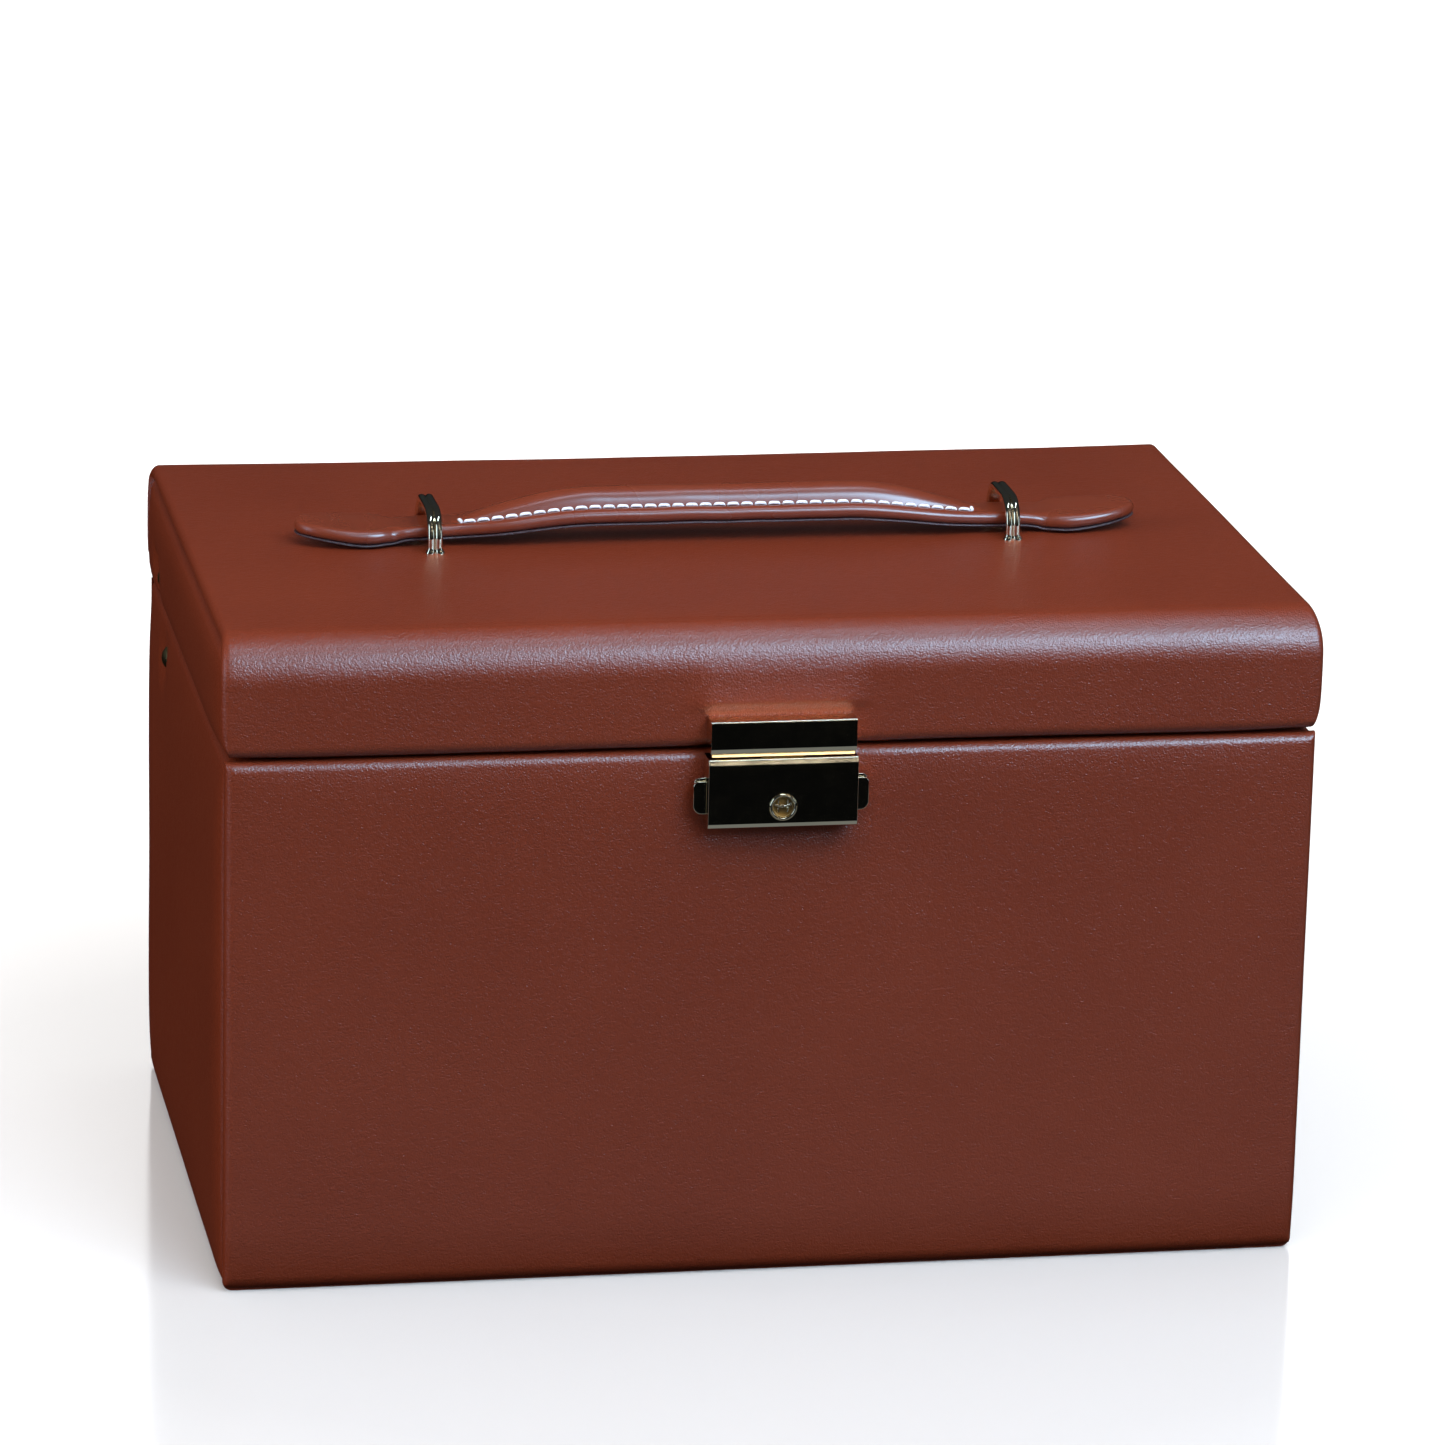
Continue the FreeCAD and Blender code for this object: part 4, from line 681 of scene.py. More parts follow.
def lid_wrap():
    """One padded sheet over the lid's front, top and back, with its rims turned in."""
    inner_round = FRONT_ROUND - SKIN
    top_board = LID_TOP - SKIN
    fold_z = LID_RIM + FOLD
    runs = [
        (line((-INNER_Y, LID_RIM), (-BACK_Y + RIM, LID_RIM), 3),
         line((-INNER_Y, fold_z), (-BOARD_Y, fold_z), 3)),
        (arc((-BACK_Y + RIM, LID_RIM + RIM), RIM, 270, 180, 6),
         line((-BOARD_Y, fold_z), (-BOARD_Y, fold_z + RIM), 6)),
        (line((-BACK_Y, LID_RIM + RIM), (-BACK_Y, LID_TOP - FRONT_ROUND), 32),
         line((-BOARD_Y, fold_z + RIM), (-BOARD_Y, top_board - inner_round), 32)),
        (arc((-BACK_Y + FRONT_ROUND, LID_TOP - FRONT_ROUND), FRONT_ROUND, 180, 90, 16),
         arc((-BOARD_Y + inner_round, top_board - inner_round), inner_round, 180, 90, 16)),
        (line((-BACK_Y + FRONT_ROUND, LID_TOP), (BACK_Y - BACK_ROUND, LID_TOP), 46),
         line((-BOARD_Y + inner_round, top_board), (BOARD_Y - BACK_ROUND / 4, top_board), 46)),
        (arc((BACK_Y - BACK_ROUND, LID_TOP - BACK_ROUND), BACK_ROUND, 90, 0, 8),
         arc((BOARD_Y - BACK_ROUND / 4, top_board - BACK_ROUND / 4), BACK_ROUND / 4, 90, 0, 8)),
        (line((BACK_Y, LID_TOP - BACK_ROUND), (BACK_Y, LID_RIM + RIM), 6),
         line((BOARD_Y, top_board - BACK_ROUND / 4), (BOARD_Y, fold_z + RIM), 6)),
        (arc((BACK_Y - RIM, LID_RIM + RIM), RIM, 0, -90, 6),
         line((BOARD_Y, fold_z + RIM), (BOARD_Y, fold_z), 6)),
        (line((BACK_Y - RIM, LID_RIM), (INNER_Y, LID_RIM), 3), line((BOARD_Y, fold_z), (INNER_Y, fold_z), 3)),
    ]
    outer, inner = [], []
    for one, two in runs:
        skip = 1 if outer else 0
        outer += one[skip:]
        inner += two[skip:]
    normals = []
    for index in range(len(outer)):
        before = Vector(outer[max(0, index - 1)])
        after = Vector(outer[min(len(outer) - 1, index + 1)])
        along = (after - before).normalized()
        normals.append(Vector((-along.y, along.x)))
    hasp_low, hasp_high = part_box("hasp_plate")
    loops = [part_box(f"handle_loop_{side}") for side, _ in SIDES]

    def raised(x, y, z, normal):
        """How far the padded sheet stands off its plain shape at a point."""
        lift = wave((x, y, z * 2), 20, 0.22 * MM) + wave((x, y + 4, z), 55, 0.06 * MM)
        if normal.x < -0.2:
            lift += 0.35 * MM * smooth((HALF_X - abs(x)) / (25 * MM))
            over = z - hasp_high.z
            beside = smooth((hasp_high.x + 4 * MM - abs(x)) / (4 * MM))
            slope = min(1.0, max(0.0, (12.2 * MM - over) / (9 * MM)))
            behind = smooth((3.2 * MM - over) / (3 * MM))
            lift += 0.8 * MM * beside * (slope - 1.35 * behind)
        if normal.y > 0.5:
            edge = smooth((HALF_X - abs(x)) / (30 * MM)) * smooth((BACK_Y - abs(y)) / (20 * MM))
            lift += 0.3 * MM * edge
            sag = (1 - (x / HALF_X) ** 2) * smooth((y - 0.045) / 0.04)
            lift -= 0.55 * MM * sag
            for low, high in loops:
                for foot in (low.y + 1.1 * MM, high.y - 1.1 * MM):
                    lift -= 0.3 * MM * dent(x, y, (low.x, foot), (high.x, foot), 3 * MM)
        return lift

    end_round = 2 * MM
    xs = stops(-HALF_X, HALF_X, end_round, end_round, 2 * MM)
    outside, inside = [], []
    for x in xs:
        drop = edge_drop(HALF_X - abs(x), end_round)
        near_end = smooth((abs(x) - HALF_X + 12 * MM) / (12 * MM))
        way = 1 if x > 0 else -1
        for (y, z), (board_y, board_z), normal in zip(outer, inner, normals):
            above = smooth((z - LID_RIM) / (5 * MM))
            shift = raised(x, y, z, normal) - drop * (0.15 + 0.85 * above)
            if z < LID_RIM + 0.01 * MM:
                shift = -drop * 0.15
            height = (z - LID_RIM) / (LID_TOP - LID_RIM)
            swell = 1.0 * MM * near_end * (1 - (2 * height - 1) ** 4)
            swell -= 0.3 * MM * near_end * (1 - height) ** 8
            tuck = 0.45 * drop * (1 - above)
            outside.append((x + way * (swell - tuck), y + normal.x * shift, z + normal.y * shift))
            inside.append((x + way * (min(0.0, swell) - tuck - 0.4 * drop), board_y, board_z))
    columns = len(outer)
    count = len(outside)
    faces = []
    for i in range(len(xs) - 1):
        for j in range(columns - 1):
            quad = (i * columns + j, (i + 1) * columns + j, (i + 1) * columns + j + 1, i * columns + j + 1)
            faces.append(quad)
            faces.append(tuple(count + number for number in reversed(quad)))
        for j in (0, columns - 1):
            one, two = i * columns + j, (i + 1) * columns + j
            faces.append((one, two, count + two, count + one))
    for i in (0, len(xs) - 1):
        for j in range(columns - 1):
            one, two = i * columns + j, i * columns + j + 1
            faces.append((one, two, count + two, count + one))
    wrap = mesh_object("lid_wrap", outside + inside, faces, LEATHER)
    finish_piece(wrap, "lid", "case_leather", "lid_wrap_leather", fill=0.9)


def lid_side_pads():
    """The padded panels let into the lid's ends, and the folds under them."""
    gap = 0.3 * MM
    high = LID_TOP - SKIN - gap
    tall = high - LID_RIM

    rivet_low, rivet_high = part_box("lid_stay_rivets")

    def crown(u, v):
        along = 1 - (abs(u) / BOARD_Y) ** 16
        upright = 1 - abs(2 * (v - LID_RIM) / tall - 1) ** 4
        dip = dent(u, v, (rivet_low.y, rivet_low.z), (rivet_high.y, rivet_high.z), 3 * MM)
        return (2.0 * MM * along * upright + wave((u, 11, v), 30, 0.12 * MM)) * (1 - dip)

    for side, sign in SIDES:
        panel = pad_mesh(
            f"lid_{side}_face", (-BOARD_Y + gap, LID_RIM), (BOARD_Y - gap, high),
            lambda u, v, rise, sign=sign: (sign * (BOARD_X + rise), u, v), SKIN,
            (1.6 * MM, 1.6 * MM, RIM, 2.2 * MM), LEATHER, crown,
            [((-1, 1), FRONT_ROUND - SKIN), ((1, 1), 1.2 * MM)], 2.5 * MM,
        )
        span = sorted((sign * BOARD_X, sign * INNER_X))
        fold_low, fold_high = (span[0], -INNER_Y, LID_RIM + FOLD_GAP), (span[1], INNER_Y, LID_RIM + FOLD)
        item = joined(f"lid_{side}_pad", [panel, rim_fold(f"lid_{side}_fold", fold_low, fold_high)])
        finish_piece(item, "lid", "case_leather", f"lid_{side}_leather", fill=0.8)


# --- Handle ---

STRAP_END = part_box("handle_strap")[1].x


def between(x, knots):
    """Smooth interpolation through (x, value) pairs, in millimetres, for either half of the strap."""
    x = abs(x) / MM
    if x <= knots[0][0]:
        return knots[0][1] * MM
    for (x0, v0), (x1, v1) in zip(knots, knots[1:]):
        if x <= x1:
            return (v0 + (v1 - v0) * smooth((x - x0) / (x1 - x0))) * MM
    return knots[-1][1] * MM


def strap_under(x):
    """Height of the strap's underside above the lid."""
    return between(x, [(30, 5.0), (70, 2.0), (86, 1.5), (104, 3.2)])


def strap_over(x):
    """Height of the strap's flat top above the lid."""
    return between(x, [(30, 8.9), (70, 5.5), (78, 5.1), (88, 5.5), (104, 6.6)])


def strap_half(x):
    """Half the strap's width."""
    half = between(x, [(50, 8.1), (66, 6.3), (76, 6.2), (87, 8.2), (120, 8.2)])
    round_from = STRAP_END - 16 * MM
    if abs(x) > round_from:
        share = min(1.0, (abs(x) - round_from) / (STRAP_END - round_from))
        half *= math.sqrt(max(0.0, 1 - share * share))
    return half


def spine_rise(x):
    """Height of the stuffed spine above the strap's top."""
    along = min(1.0, max(0.0, (abs(x) - 34 * MM) / (32 * MM)))
    return 4.1 * MM * (1 - along * along)


def spine_half(x):
    """Half the width of the stuffed spine."""
    return between(x, [(40, 4.3), (66, 3.4)])


def tip_thin(x):
    """The strap's thickness near its rounded tips, as a share."""
    near = (STRAP_END - abs(x)) / (1.6 * MM)
    if near >= 1:
        return 1.0
    return math.sqrt(max(0.0, 1 - (1 - near) ** 2))


def strap_section(x, sole):
    """Points round the strap at one station: the upper layer, or the thin sole under it."""
    under, over = strap_under(x), strap_over(x)
    sole_thick = 0.5 * MM
    half = strap_half(x)
    low, high = (under, under + sole_thick) if sole else (under + sole_thick, over)
    if sole:
        half = max(0.0, half - 0.35 * MM)
    middle = (low + high) / 2
    tall = (high - low) * tip_thin(x)
    low, high = middle - tall / 2, middle + tall / 2
    edge = min(tall / 2, half)
    flat = half - edge
    rise, foot = spine_rise(x), spine_half(x)
    points = []

    def top(y):
        height = high
        if not sole:
            share = min(1.0, abs(y) / max(foot, 1e-6))
            height += rise * (1 - share * share) ** 0.62
            groove = math.exp(-((abs(y) - foot - 0.4 * MM) / (0.55 * MM)) ** 2)
            height -= 0.42 * MM * groove * smooth((66 * MM - abs(x)) / (4 * MM))
        return height

    squeeze = tall / 2 / max(edge, 1e-9)
    for step in range(33):
        y = -flat + 2 * flat * step / 32
        points.append((y, top(y)))
    for step in range(1, 12):
        turn = math.pi / 2 - math.pi * step / 12
        points.append((flat + edge * math.cos(turn), middle + edge * math.sin(turn) * squeeze))
    for step in range(33):
        points.append((flat - 2 * flat * step / 32, low))
    for step in range(1, 12):
        turn = -math.pi / 2 - math.pi * step / 12
        points.append((-flat + edge * math.cos(turn), middle + edge * math.sin(turn) * squeeze))
    return points


def strap_layer(name, sole, material):
    """One layer of the strap, lofted along its length."""
    count = 150
    end = STRAP_END - 0.02 * MM
    xs = [end * math.sin(math.pi / 2 * (2 * step / count - 1)) for step in range(count + 1)]
    rings = []
    for x in xs:
        ring = []
        for y, height in strap_section(x, sole):
            pucker = wave((x * 2, y * 3, height), 60, 0.12 * MM)
            crease = 0.9 * MM * math.exp(-((abs(x) - 80.5 * MM) / (1.2 * MM)) ** 2)
            crease *= smooth((abs(y) - 4 * MM) / (2 * MM))
            across = y * (1 - crease / (8 * MM))
            tilt = 0.07 * y * smooth((abs(x) - 74 * MM) / (10 * MM))
            ring.append((x, across, LID_TOP + height + pucker - crease * 0.5 + tilt))
        rings.append(ring)
    points = [point for ring in rings for point in ring]
    return mesh_object(name, points, ring_faces(len(rings), len(rings[0])), material, 60)


def stitch(start, end, arch, thick=0.47 * MM):
    """One stitch: a short round thread that rises from the leather and dips back in."""
    start, end = Vector(start), Vector(end)
    along = (end - start).normalized()
    across = along.cross(Vector((0, 0, 1))).normalized()
    up = across.cross(along)
    steps, sides = 10, 10
    points = []
    for step in range(steps + 1):
        share = step / steps
        swell = math.sqrt(max(0.05, 1 - (2 * share - 1) ** 6))
        centre = start.lerp(end, share) + up * (arch * (1 - (2 * share - 1) ** 4) - 0.2 * MM)
        for side in range(sides):
            turn = 2 * math.pi * side / sides
            around = across * math.cos(turn) + up * math.sin(turn) * 0.85
            points.append(tuple(centre + around * thick * swell))
    return points, ring_faces(steps + 1, sides)


def stitches():
    """Two rows of stitches along the foot of the spine, with a cross stitch at each end."""
    points, faces = [], []

    def add(one):
        offset = len(points)
        points.extend(one[0])
        faces.extend(tuple(offset + number for number in face) for face in one[1])

    first, last, pitch = -63.5 * MM, 62.5 * MM, 3.4 * MM
    number = round((last - first) / pitch)
    for way in (-1, 1):
        def spot(x):
            y = way * (spine_half(x) + 0.5 * MM)
            return (x, y, LID_TOP + strap_over(x) + 0.05 * MM)
        for index in range(number):
            x = first + index * pitch
            if way > 0 and abs(x) > 57 * MM:
                continue
            slant = 0.12 * MM
            start, end = Vector(spot(x + 0.18 * MM)), Vector(spot(x + pitch - 0.18 * MM))
            start.y += slant
            end.y -= slant
            add(stitch(start, end, 0.42 * MM))
        for x, lean in ((first - 0.2 * MM, -0.5 * MM), (first + number * pitch + 0.2 * MM, 0.2 * MM)):
            if way > 0:
                continue
            start = Vector(spot(x))
            end = start + Vector((lean, -way * 2.0 * MM, 0.25 * MM))
            add(stitch(start, end, 0.3 * MM))
    return mesh_object("handle_stitches", points, faces, THREAD, 80)


def handle():
    """The strap in two layers, its stitching and the metal loops."""
    upper = strap_layer("handle_upper", False, STRAP_LEATHER)
    finish_piece(upper, "handle", "strap_leather", "handle_strap", "handle_spine_pad", fill=0.9)
    # The sole's very dark colour is partly its raw edge and partly painted shade under the strap.
    sole = strap_layer("handle_sole", True, SOLE_AND_PAINTED_SHADE)
    finish_piece(sole, "handle", "strap_leather")
    finish_piece(stitches(), "handle", "thread")
    for side, sign in SIDES:
        loop(side)


def sweep(name, path, ring_at, material, angle):
    """A closed section carried along a path in a plane of constant x."""
    points, faces = [], []
    for index, spot in enumerate(path):
        before = Vector(path[max(0, index - 1)])
        after = Vector(path[min(len(path) - 1, index + 1)])
        along = (after - before).normalized()
        points += ring_at(spot, Vector((-along.y, along.x)))
    around = len(points) // len(path)
    for i in range(len(path) - 1):
        for j in range(around):
            k = (j + 1) % around
            faces.append((i * around + j, (i + 1) * around + j, (i + 1) * around + k, i * around + k))
    faces.append(tuple(range(around)))
    faces.append(tuple((len(path) - 1) * around + j for j in range(around)))
    return mesh_object(name, points, faces, material, angle)


def bead_section(steps=7):
    """Half of a section with two rounded beads and a groove between them, as (across, out) pairs."""
    beads = []
    for centre, first in ((-0.5, 180), (0.5, 165)):
        for step in range(steps):
            turn = math.radians(first - (first - 15 if centre < 0 else 165) * step / (steps - 1))
            beads.append((centre + 0.5 * math.cos(turn), 0.25 + 0.75 * math.sin(turn)))
    inside = [(0.96, -0.45), (0.7, -0.9), (0.25, -1.0), (-0.25, -1.0), (-0.7, -0.9), (-0.96, -0.45)]
    return beads + inside


def loop(side):
    """A low metal arch with two beads along its face and flared feet."""
    low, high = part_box(f"handle_loop_{side}")
    middle_x = (low.x + high.x) / 2
    half_wide = (high.x - low.x) / 2
    thick = 2.0 * MM
    leg = high.y - thick / 2
    top = high.z - thick / 2
    bend = 6.6 * MM
    foot = LID_TOP - 1.2 * MM
    path = line((-leg, foot), (-leg, top - bend), 10)
    path += arc((-leg + bend, top - bend), bend, 180, 90, 14)[1:]
    path += line((-leg + bend, top), (leg - bend, top), 6)[1:]
    path += arc((leg - bend, top - bend), bend, 90, 0, 14)[1:]
    path += line((leg, top - bend), (leg, foot), 10)[1:]
    section = bead_section()

    def ring_at(spot, out):
        y, z = spot
        near_foot = math.exp(-(max(0.0, z - LID_TOP - 0.4 * MM) / (0.55 * MM)) ** 2)
        wide = half_wide * (0.76 + 0.22 * near_foot)
        return [
            (middle_x + across * wide,
             y + out.x * rise * thick / 2 * (1 + 0.35 * near_foot),
             z + out.y * rise * thick / 2)
            for across, rise in section
        ]

    item = sweep(f"loop_{side}", path, ring_at, GOLD, 35)
    finish_piece(item, "lid", "gold_brass", f"handle_loop_{side}")


# --- Lock ---


def eased(item, width, angle=15, segments=3):
    """Round off a piece's sharp edges."""
    bevel = item.modifiers.new("eased", "BEVEL")
    bevel.width = width
    bevel.segments = segments
    bevel.limit_method = "ANGLE"
    bevel.angle_limit = math.radians(angle)
    bevel.harden_normals = True
    return item


def extruded(name, outline, axis, start, end, material, sharp=12):
    """A prism: an outline pushed along x, or along y for an outline in x and z."""
    def spot(pair, along):
        return (along, *pair) if axis == "x" else (pair[0], along, pair[1])
    count = len(outline)
    points = [spot(pair, start) for pair in outline] + [spot(pair, end) for pair in outline]
    faces = [tuple(range(count)), tuple(range(count, 2 * count))]
    faces += [(i, (i + 1) % count, count + (i + 1) % count, count + i) for i in range(count)]
    return mesh_object(name, points, faces, material, sharp)


def rounded_outline(low, high, radii, count=6):
    """A rectangle's outline with its own radius at each corner: low-left, low-right, high-right, high-left."""
    (left, bottom), (right, top) = low, high
    corners = ((left, bottom, 180), (right, bottom, 270), (right, top, 0), (left, top, 90))
    outline = []
    for (x, z, turn), radius, (sx, sz) in zip(corners, radii, ((1, 1), (-1, 1), (-1, -1), (1, -1))):
        if radius:
            outline += arc((x + sx * radius, z + sz * radius), radius, turn, turn + 90, count)
        else:
            outline.append((x, z))
    return outline


def lathe(name, centre, profile, material, count=64):
    """A turned piece about an axis along y: the profile holds (radius, y) pairs of a closed loop."""
    points, faces = [], []
    for step in range(count):
        turn = 2 * math.pi * step / count
        points += [(centre[0] + r * math.cos(turn), y, centre[1] + r * math.sin(turn)) for r, y in profile]
    around = len(profile)
    for i in range(count):
        for j in range(around):
            k = (j + 1) % around
            n = (i + 1) % count
            faces.append((i * around + j, n * around + j, n * around + k, i * around + k))
    return mesh_object(name, points, faces, material, 40)


def carved(item, cutters):
    """A piece with the cutters taken out of it."""
    for cutter in cutters:
        cut = item.modifiers.new("cut", "BOOLEAN")
        cut.operation = "DIFFERENCE"
        cut.object = cutter
    bpy.context.view_layer.update()
    mesh = bpy.data.meshes.new_from_object(item.evaluated_get(bpy.context.evaluated_depsgraph_get()))
    item.modifiers.clear()
    item.data = mesh
    for cutter in cutters:
        bpy.data.objects.remove(cutter)
    mesh.shade_smooth()
    mesh.set_sharp_from_angle(angle=math.radians(12))
    return item


def hasp():
    """The folded plate on the lid, with a shallow bevel along its foot, and its tongue."""
    low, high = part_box("hasp_plate")
    front, back = low.y, high.y
    profile = [(back, low.z + 0.2 * MM), (front + 1.6 * MM, low.z), (front + 0.42 * MM, low.z + 0.05 * MM),
               (front, low.z + 1.15 * MM)]
    profile += arc((front + 0.45 * MM, high.z - 0.45 * MM), 0.45 * MM, 180, 90, 6) + [(back, high.z)]
    plate = eased(extruded("hasp_face", profile, "x", low.x, high.x, GOLD), 0.16 * MM)
    finish_piece(plate, "lid", "gold_brass", "hasp_plate")
    tongue_low, tongue_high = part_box("hasp_tongue")
    lip = [(front + 0.5 * MM, low.z - 0.85 * MM), (front + 1.6 * MM, low.z - 0.85 * MM),
           (front + 1.6 * MM, low.z + 0.3 * MM), (front + 1.05 * MM, low.z + 0.3 * MM)]
    shelf = eased(extruded("hasp_lip", lip, "x", low.x + 0.3 * MM, high.x - 0.3 * MM, SATIN_GOLD), 0.12 * MM)
    finish_piece(shelf, "lid", "gold_brass")


def lock():
    """The lock's case with its bevels, the release tabs, and the keyhole."""
    low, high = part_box("lock_housing")
    front, back = low.y, high.y
    wall = 0.8 * MM
    profile = [(back, low.z), (front + 0.38 * MM, low.z), (front, low.z + 1.0 * MM)]
    profile += [(front, high.z - 1.25 * MM), (front + 0.62 * MM, high.z - 0.15 * MM)]
    profile += [(front + 1.0 * MM, high.z), (back, high.z)]
    case = extruded("lock_case", profile, "x", low.x, high.x, GOLD)
    room = extruded(
        "room", [(front + wall, low.z + wall), (back + wall, low.z + wall), (back + wall, high.z - wall),
                 (front + wall, high.z - wall)], "x", low.x + wall, high.x - wall, GOLD)
    tab_low, tab_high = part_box("release_tab_right")
    slot = extruded(
        "slot", [(tab_low.y - 0.2 * MM, tab_low.z - 0.2 * MM), (tab_high.y + 0.2 * MM, tab_low.z - 0.2 * MM),
                 (tab_high.y + 0.2 * MM, tab_high.z + 0.2 * MM), (tab_low.y - 0.2 * MM, tab_high.z + 0.2 * MM)],
        "x", low.x - wall, high.x + wall, GOLD)
    tongue_low, tongue_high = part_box("hasp_tongue")
    gap = 0.3 * MM
    mouth = extruded(
        "mouth", [(tongue_low.y - gap, high.z - 2 * wall), (tongue_high.y + gap, high.z - 2 * wall),
                  (tongue_high.y + gap, high.z + wall), (tongue_low.y - gap, high.z + wall)],
        "x", tongue_low.x - gap, tongue_high.x + gap, GOLD)
    ring_low, ring_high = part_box("keyhole_ring")
    centre = ((ring_low.x + ring_high.x) / 2, (ring_low.z + ring_high.z) / 2)
    radius = (ring_high.x - ring_low.x) / 2
    axis = 0.0001 * MM
    bore = lathe("bore", centre, [(axis, front - wall), (radius, front - wall), (radius, front + 2 * wall),
                                  (axis, front + 2 * wall)], GOLD)
    eased(carved(case, [room, slot, mouth, bore]), 0.14 * MM)
    finish_piece(case, "base", "gold_brass", "lock_housing")
    keyhole(centre, radius, front)
    for side, sign in SIDES:
        tab(side, sign)


def keyhole(centre, radius, front):
    """A rolled ring round a turned plug with two openings and a rounded bar between them."""
    rim = 0.34 * MM
    profile = [(radius - rim + rim * math.cos(a), front - 0.04 * MM - rim * math.sin(a))
               for a in [math.pi * step / 8 for step in range(9)]]
    profile += [(radius - 2 * rim, front + 0.8 * MM), (radius, front + 0.8 * MM)]
    ring = lathe("key_ring", centre, profile, GOLD)
    finish_piece(ring, "base", "gold_brass", "keyhole_ring")
    face = front + 0.1 * MM
    plug_radius = radius - 2 * rim - 0.04 * MM
    deep = front + 5 * MM
    # The plug's dark brass is painted shade for the recess.
    plug = lathe("key_plug", centre, [
        (0.0001 * MM, face + 1.1 * MM), (plug_radius - 0.34 * MM, face + 1.1 * MM),
        (plug_radius - 0.3 * MM, face + 0.05 * MM), (plug_radius - 0.12 * MM, face),
        (plug_radius, face + 0.2 * MM), (plug_radius, deep), (0.0001 * MM, deep)], KEYWAY_BRASS_PAINTED_SHADE)
    finish_piece(plug, "lock_cylinder", "gold_brass", "lock_cylinder")
    arch = arc((centre[0], centre[1] - 0.75 * MM), 1.2 * MM, 205, 155, 3)
    arch += arc((centre[0], centre[1] - 0.75 * MM), 1.2 * MM, 150, 30, 10)
    arch += arc((centre[0], centre[1] - 0.75 * MM), 1.2 * MM, 25, -25, 3)
    reach = plug_radius - 0.2 * MM
    cheeks = [
        [(way * 1.12 * MM, 1.75), (way * 1.12 * MM, 0.45), (way * 1.75 * MM, 0.25), (way * 1.9 * MM, 1.0)]
        for way in (-1, 1)
    ]
    pieces = [tube("key_arch", [(x, face + 0.22 * MM, z) for x, z in arch], 0.19 * MM, GOLD)]
    bar = [(centre[0] - reach + 0.3 * MM, face + 0.25 * MM, centre[1] + 0.62 * MM),
           (centre[0] - 0.5 * MM, face + 0.2 * MM, centre[1] + 0.1 * MM),
           (centre[0] + 0.5 * MM, face + 0.2 * MM, centre[1] + 0.1 * MM),
           (centre[0] + reach - 0.3 * MM, face + 0.25 * MM, centre[1] + 0.62 * MM)]
    pieces.append(tube("key_bar", bar, 0.3 * MM, GOLD))
    for outline in cheeks:
        spots = [(centre[0] + x, face + 0.3 * MM, centre[1] + z * MM) for x, z in outline]
        pieces.append(tube("key_cheek", spots, 0.2 * MM, GOLD))
    finish_piece(joined("key_wards", pieces), "lock_cylinder", "gold_brass")


def tube(name, spots, radius, material, sides=10):
    """A round bar along a chain of points."""
    points, faces = [], []
    for index, spot in enumerate(spots):
        before = Vector(spots[max(0, index - 1)])
        after = Vector(spots[min(len(spots) - 1, index + 1)])
        along = (after - before).normalized()
        across = along.cross(Vector((0, 1, 0))).normalized()
        out = across.cross(along)
        for side in range(sides):
            turn = 2 * math.pi * side / sides
            points.append(tuple(Vector(spot) + (across * math.cos(turn) + out * math.sin(turn)) * radius))
    for i in range(len(spots) - 1):
        for j in range(sides):
            k = (j + 1) % sides
            faces.append((i * sides + j, (i + 1) * sides + j, (i + 1) * sides + k, i * sides + k))
    faces.append(tuple(range(sides)))
    faces.append(tuple((len(spots) - 1) * sides + j for j in range(sides)))
    return mesh_object(name, points, faces, material, 50)


def tab(side, sign):
    """A release tab in two layers, its outer corners rounded."""
    low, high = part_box(f"release_tab_{side}")
    inner, outer = (low.x, high.x) if sign > 0 else (high.x, low.x)
    middle = (low.y + high.y) / 2
    layers = []
    for name, start, end, top, shrink in (
        ("front", low.y, middle, high.z - 0.7 * MM, 0.0), ("back", middle, high.y, high.z, 0.3 * MM),
    ):
        edge = outer - sign * shrink
        outline = rounded_outline(
            (min(inner, edge), low.z), (max(inner, edge), top),
            (0, 2.0 * MM, 1.3 * MM, 0) if sign > 0 else (2.0 * MM, 0, 0, 1.3 * MM),
        )
        layers.append(eased(extruded(f"tab_{side}_{name}", outline, "y", start, end, GOLD), 0.2 * MM))
    finish_piece(layers[0], f"release_tab_{side}", "gold_brass", f"release_tab_{side}")
    finish_piece(layers[1], f"release_tab_{side}", "gold_brass")


# --- Inside ---

NOTCH_HALF = 16 * MM
NOTCH_DEEP = 12 * MM
ROLL_SCALE = 10


def solid_boxes(node):
    """The low and high corners of each separate solid in a CAD node."""
    mesh = frame["nodes"][node].data
    group = {}

    def root(key):
        while group[key] != key:
            key = group[key]
        return key

    keys = [tuple(round(value, 6) for value in vertex.co) for vertex in mesh.vertices]
    for key in keys:
        group.setdefault(key, key)
    for edge in mesh.edges:
        one, two = (root(keys[number]) for number in edge.vertices)
        group[one] = two
    solids = {}
    for key in group:
        solids.setdefault(root(key), []).append(key)
    corners = [
        (Vector([min(axis) for axis in zip(*keys)]), Vector([max(axis) for axis in zip(*keys)]))
        for keys in solids.values()
    ]
    return sorted(corners, key=lambda pair: tuple(pair[0]))


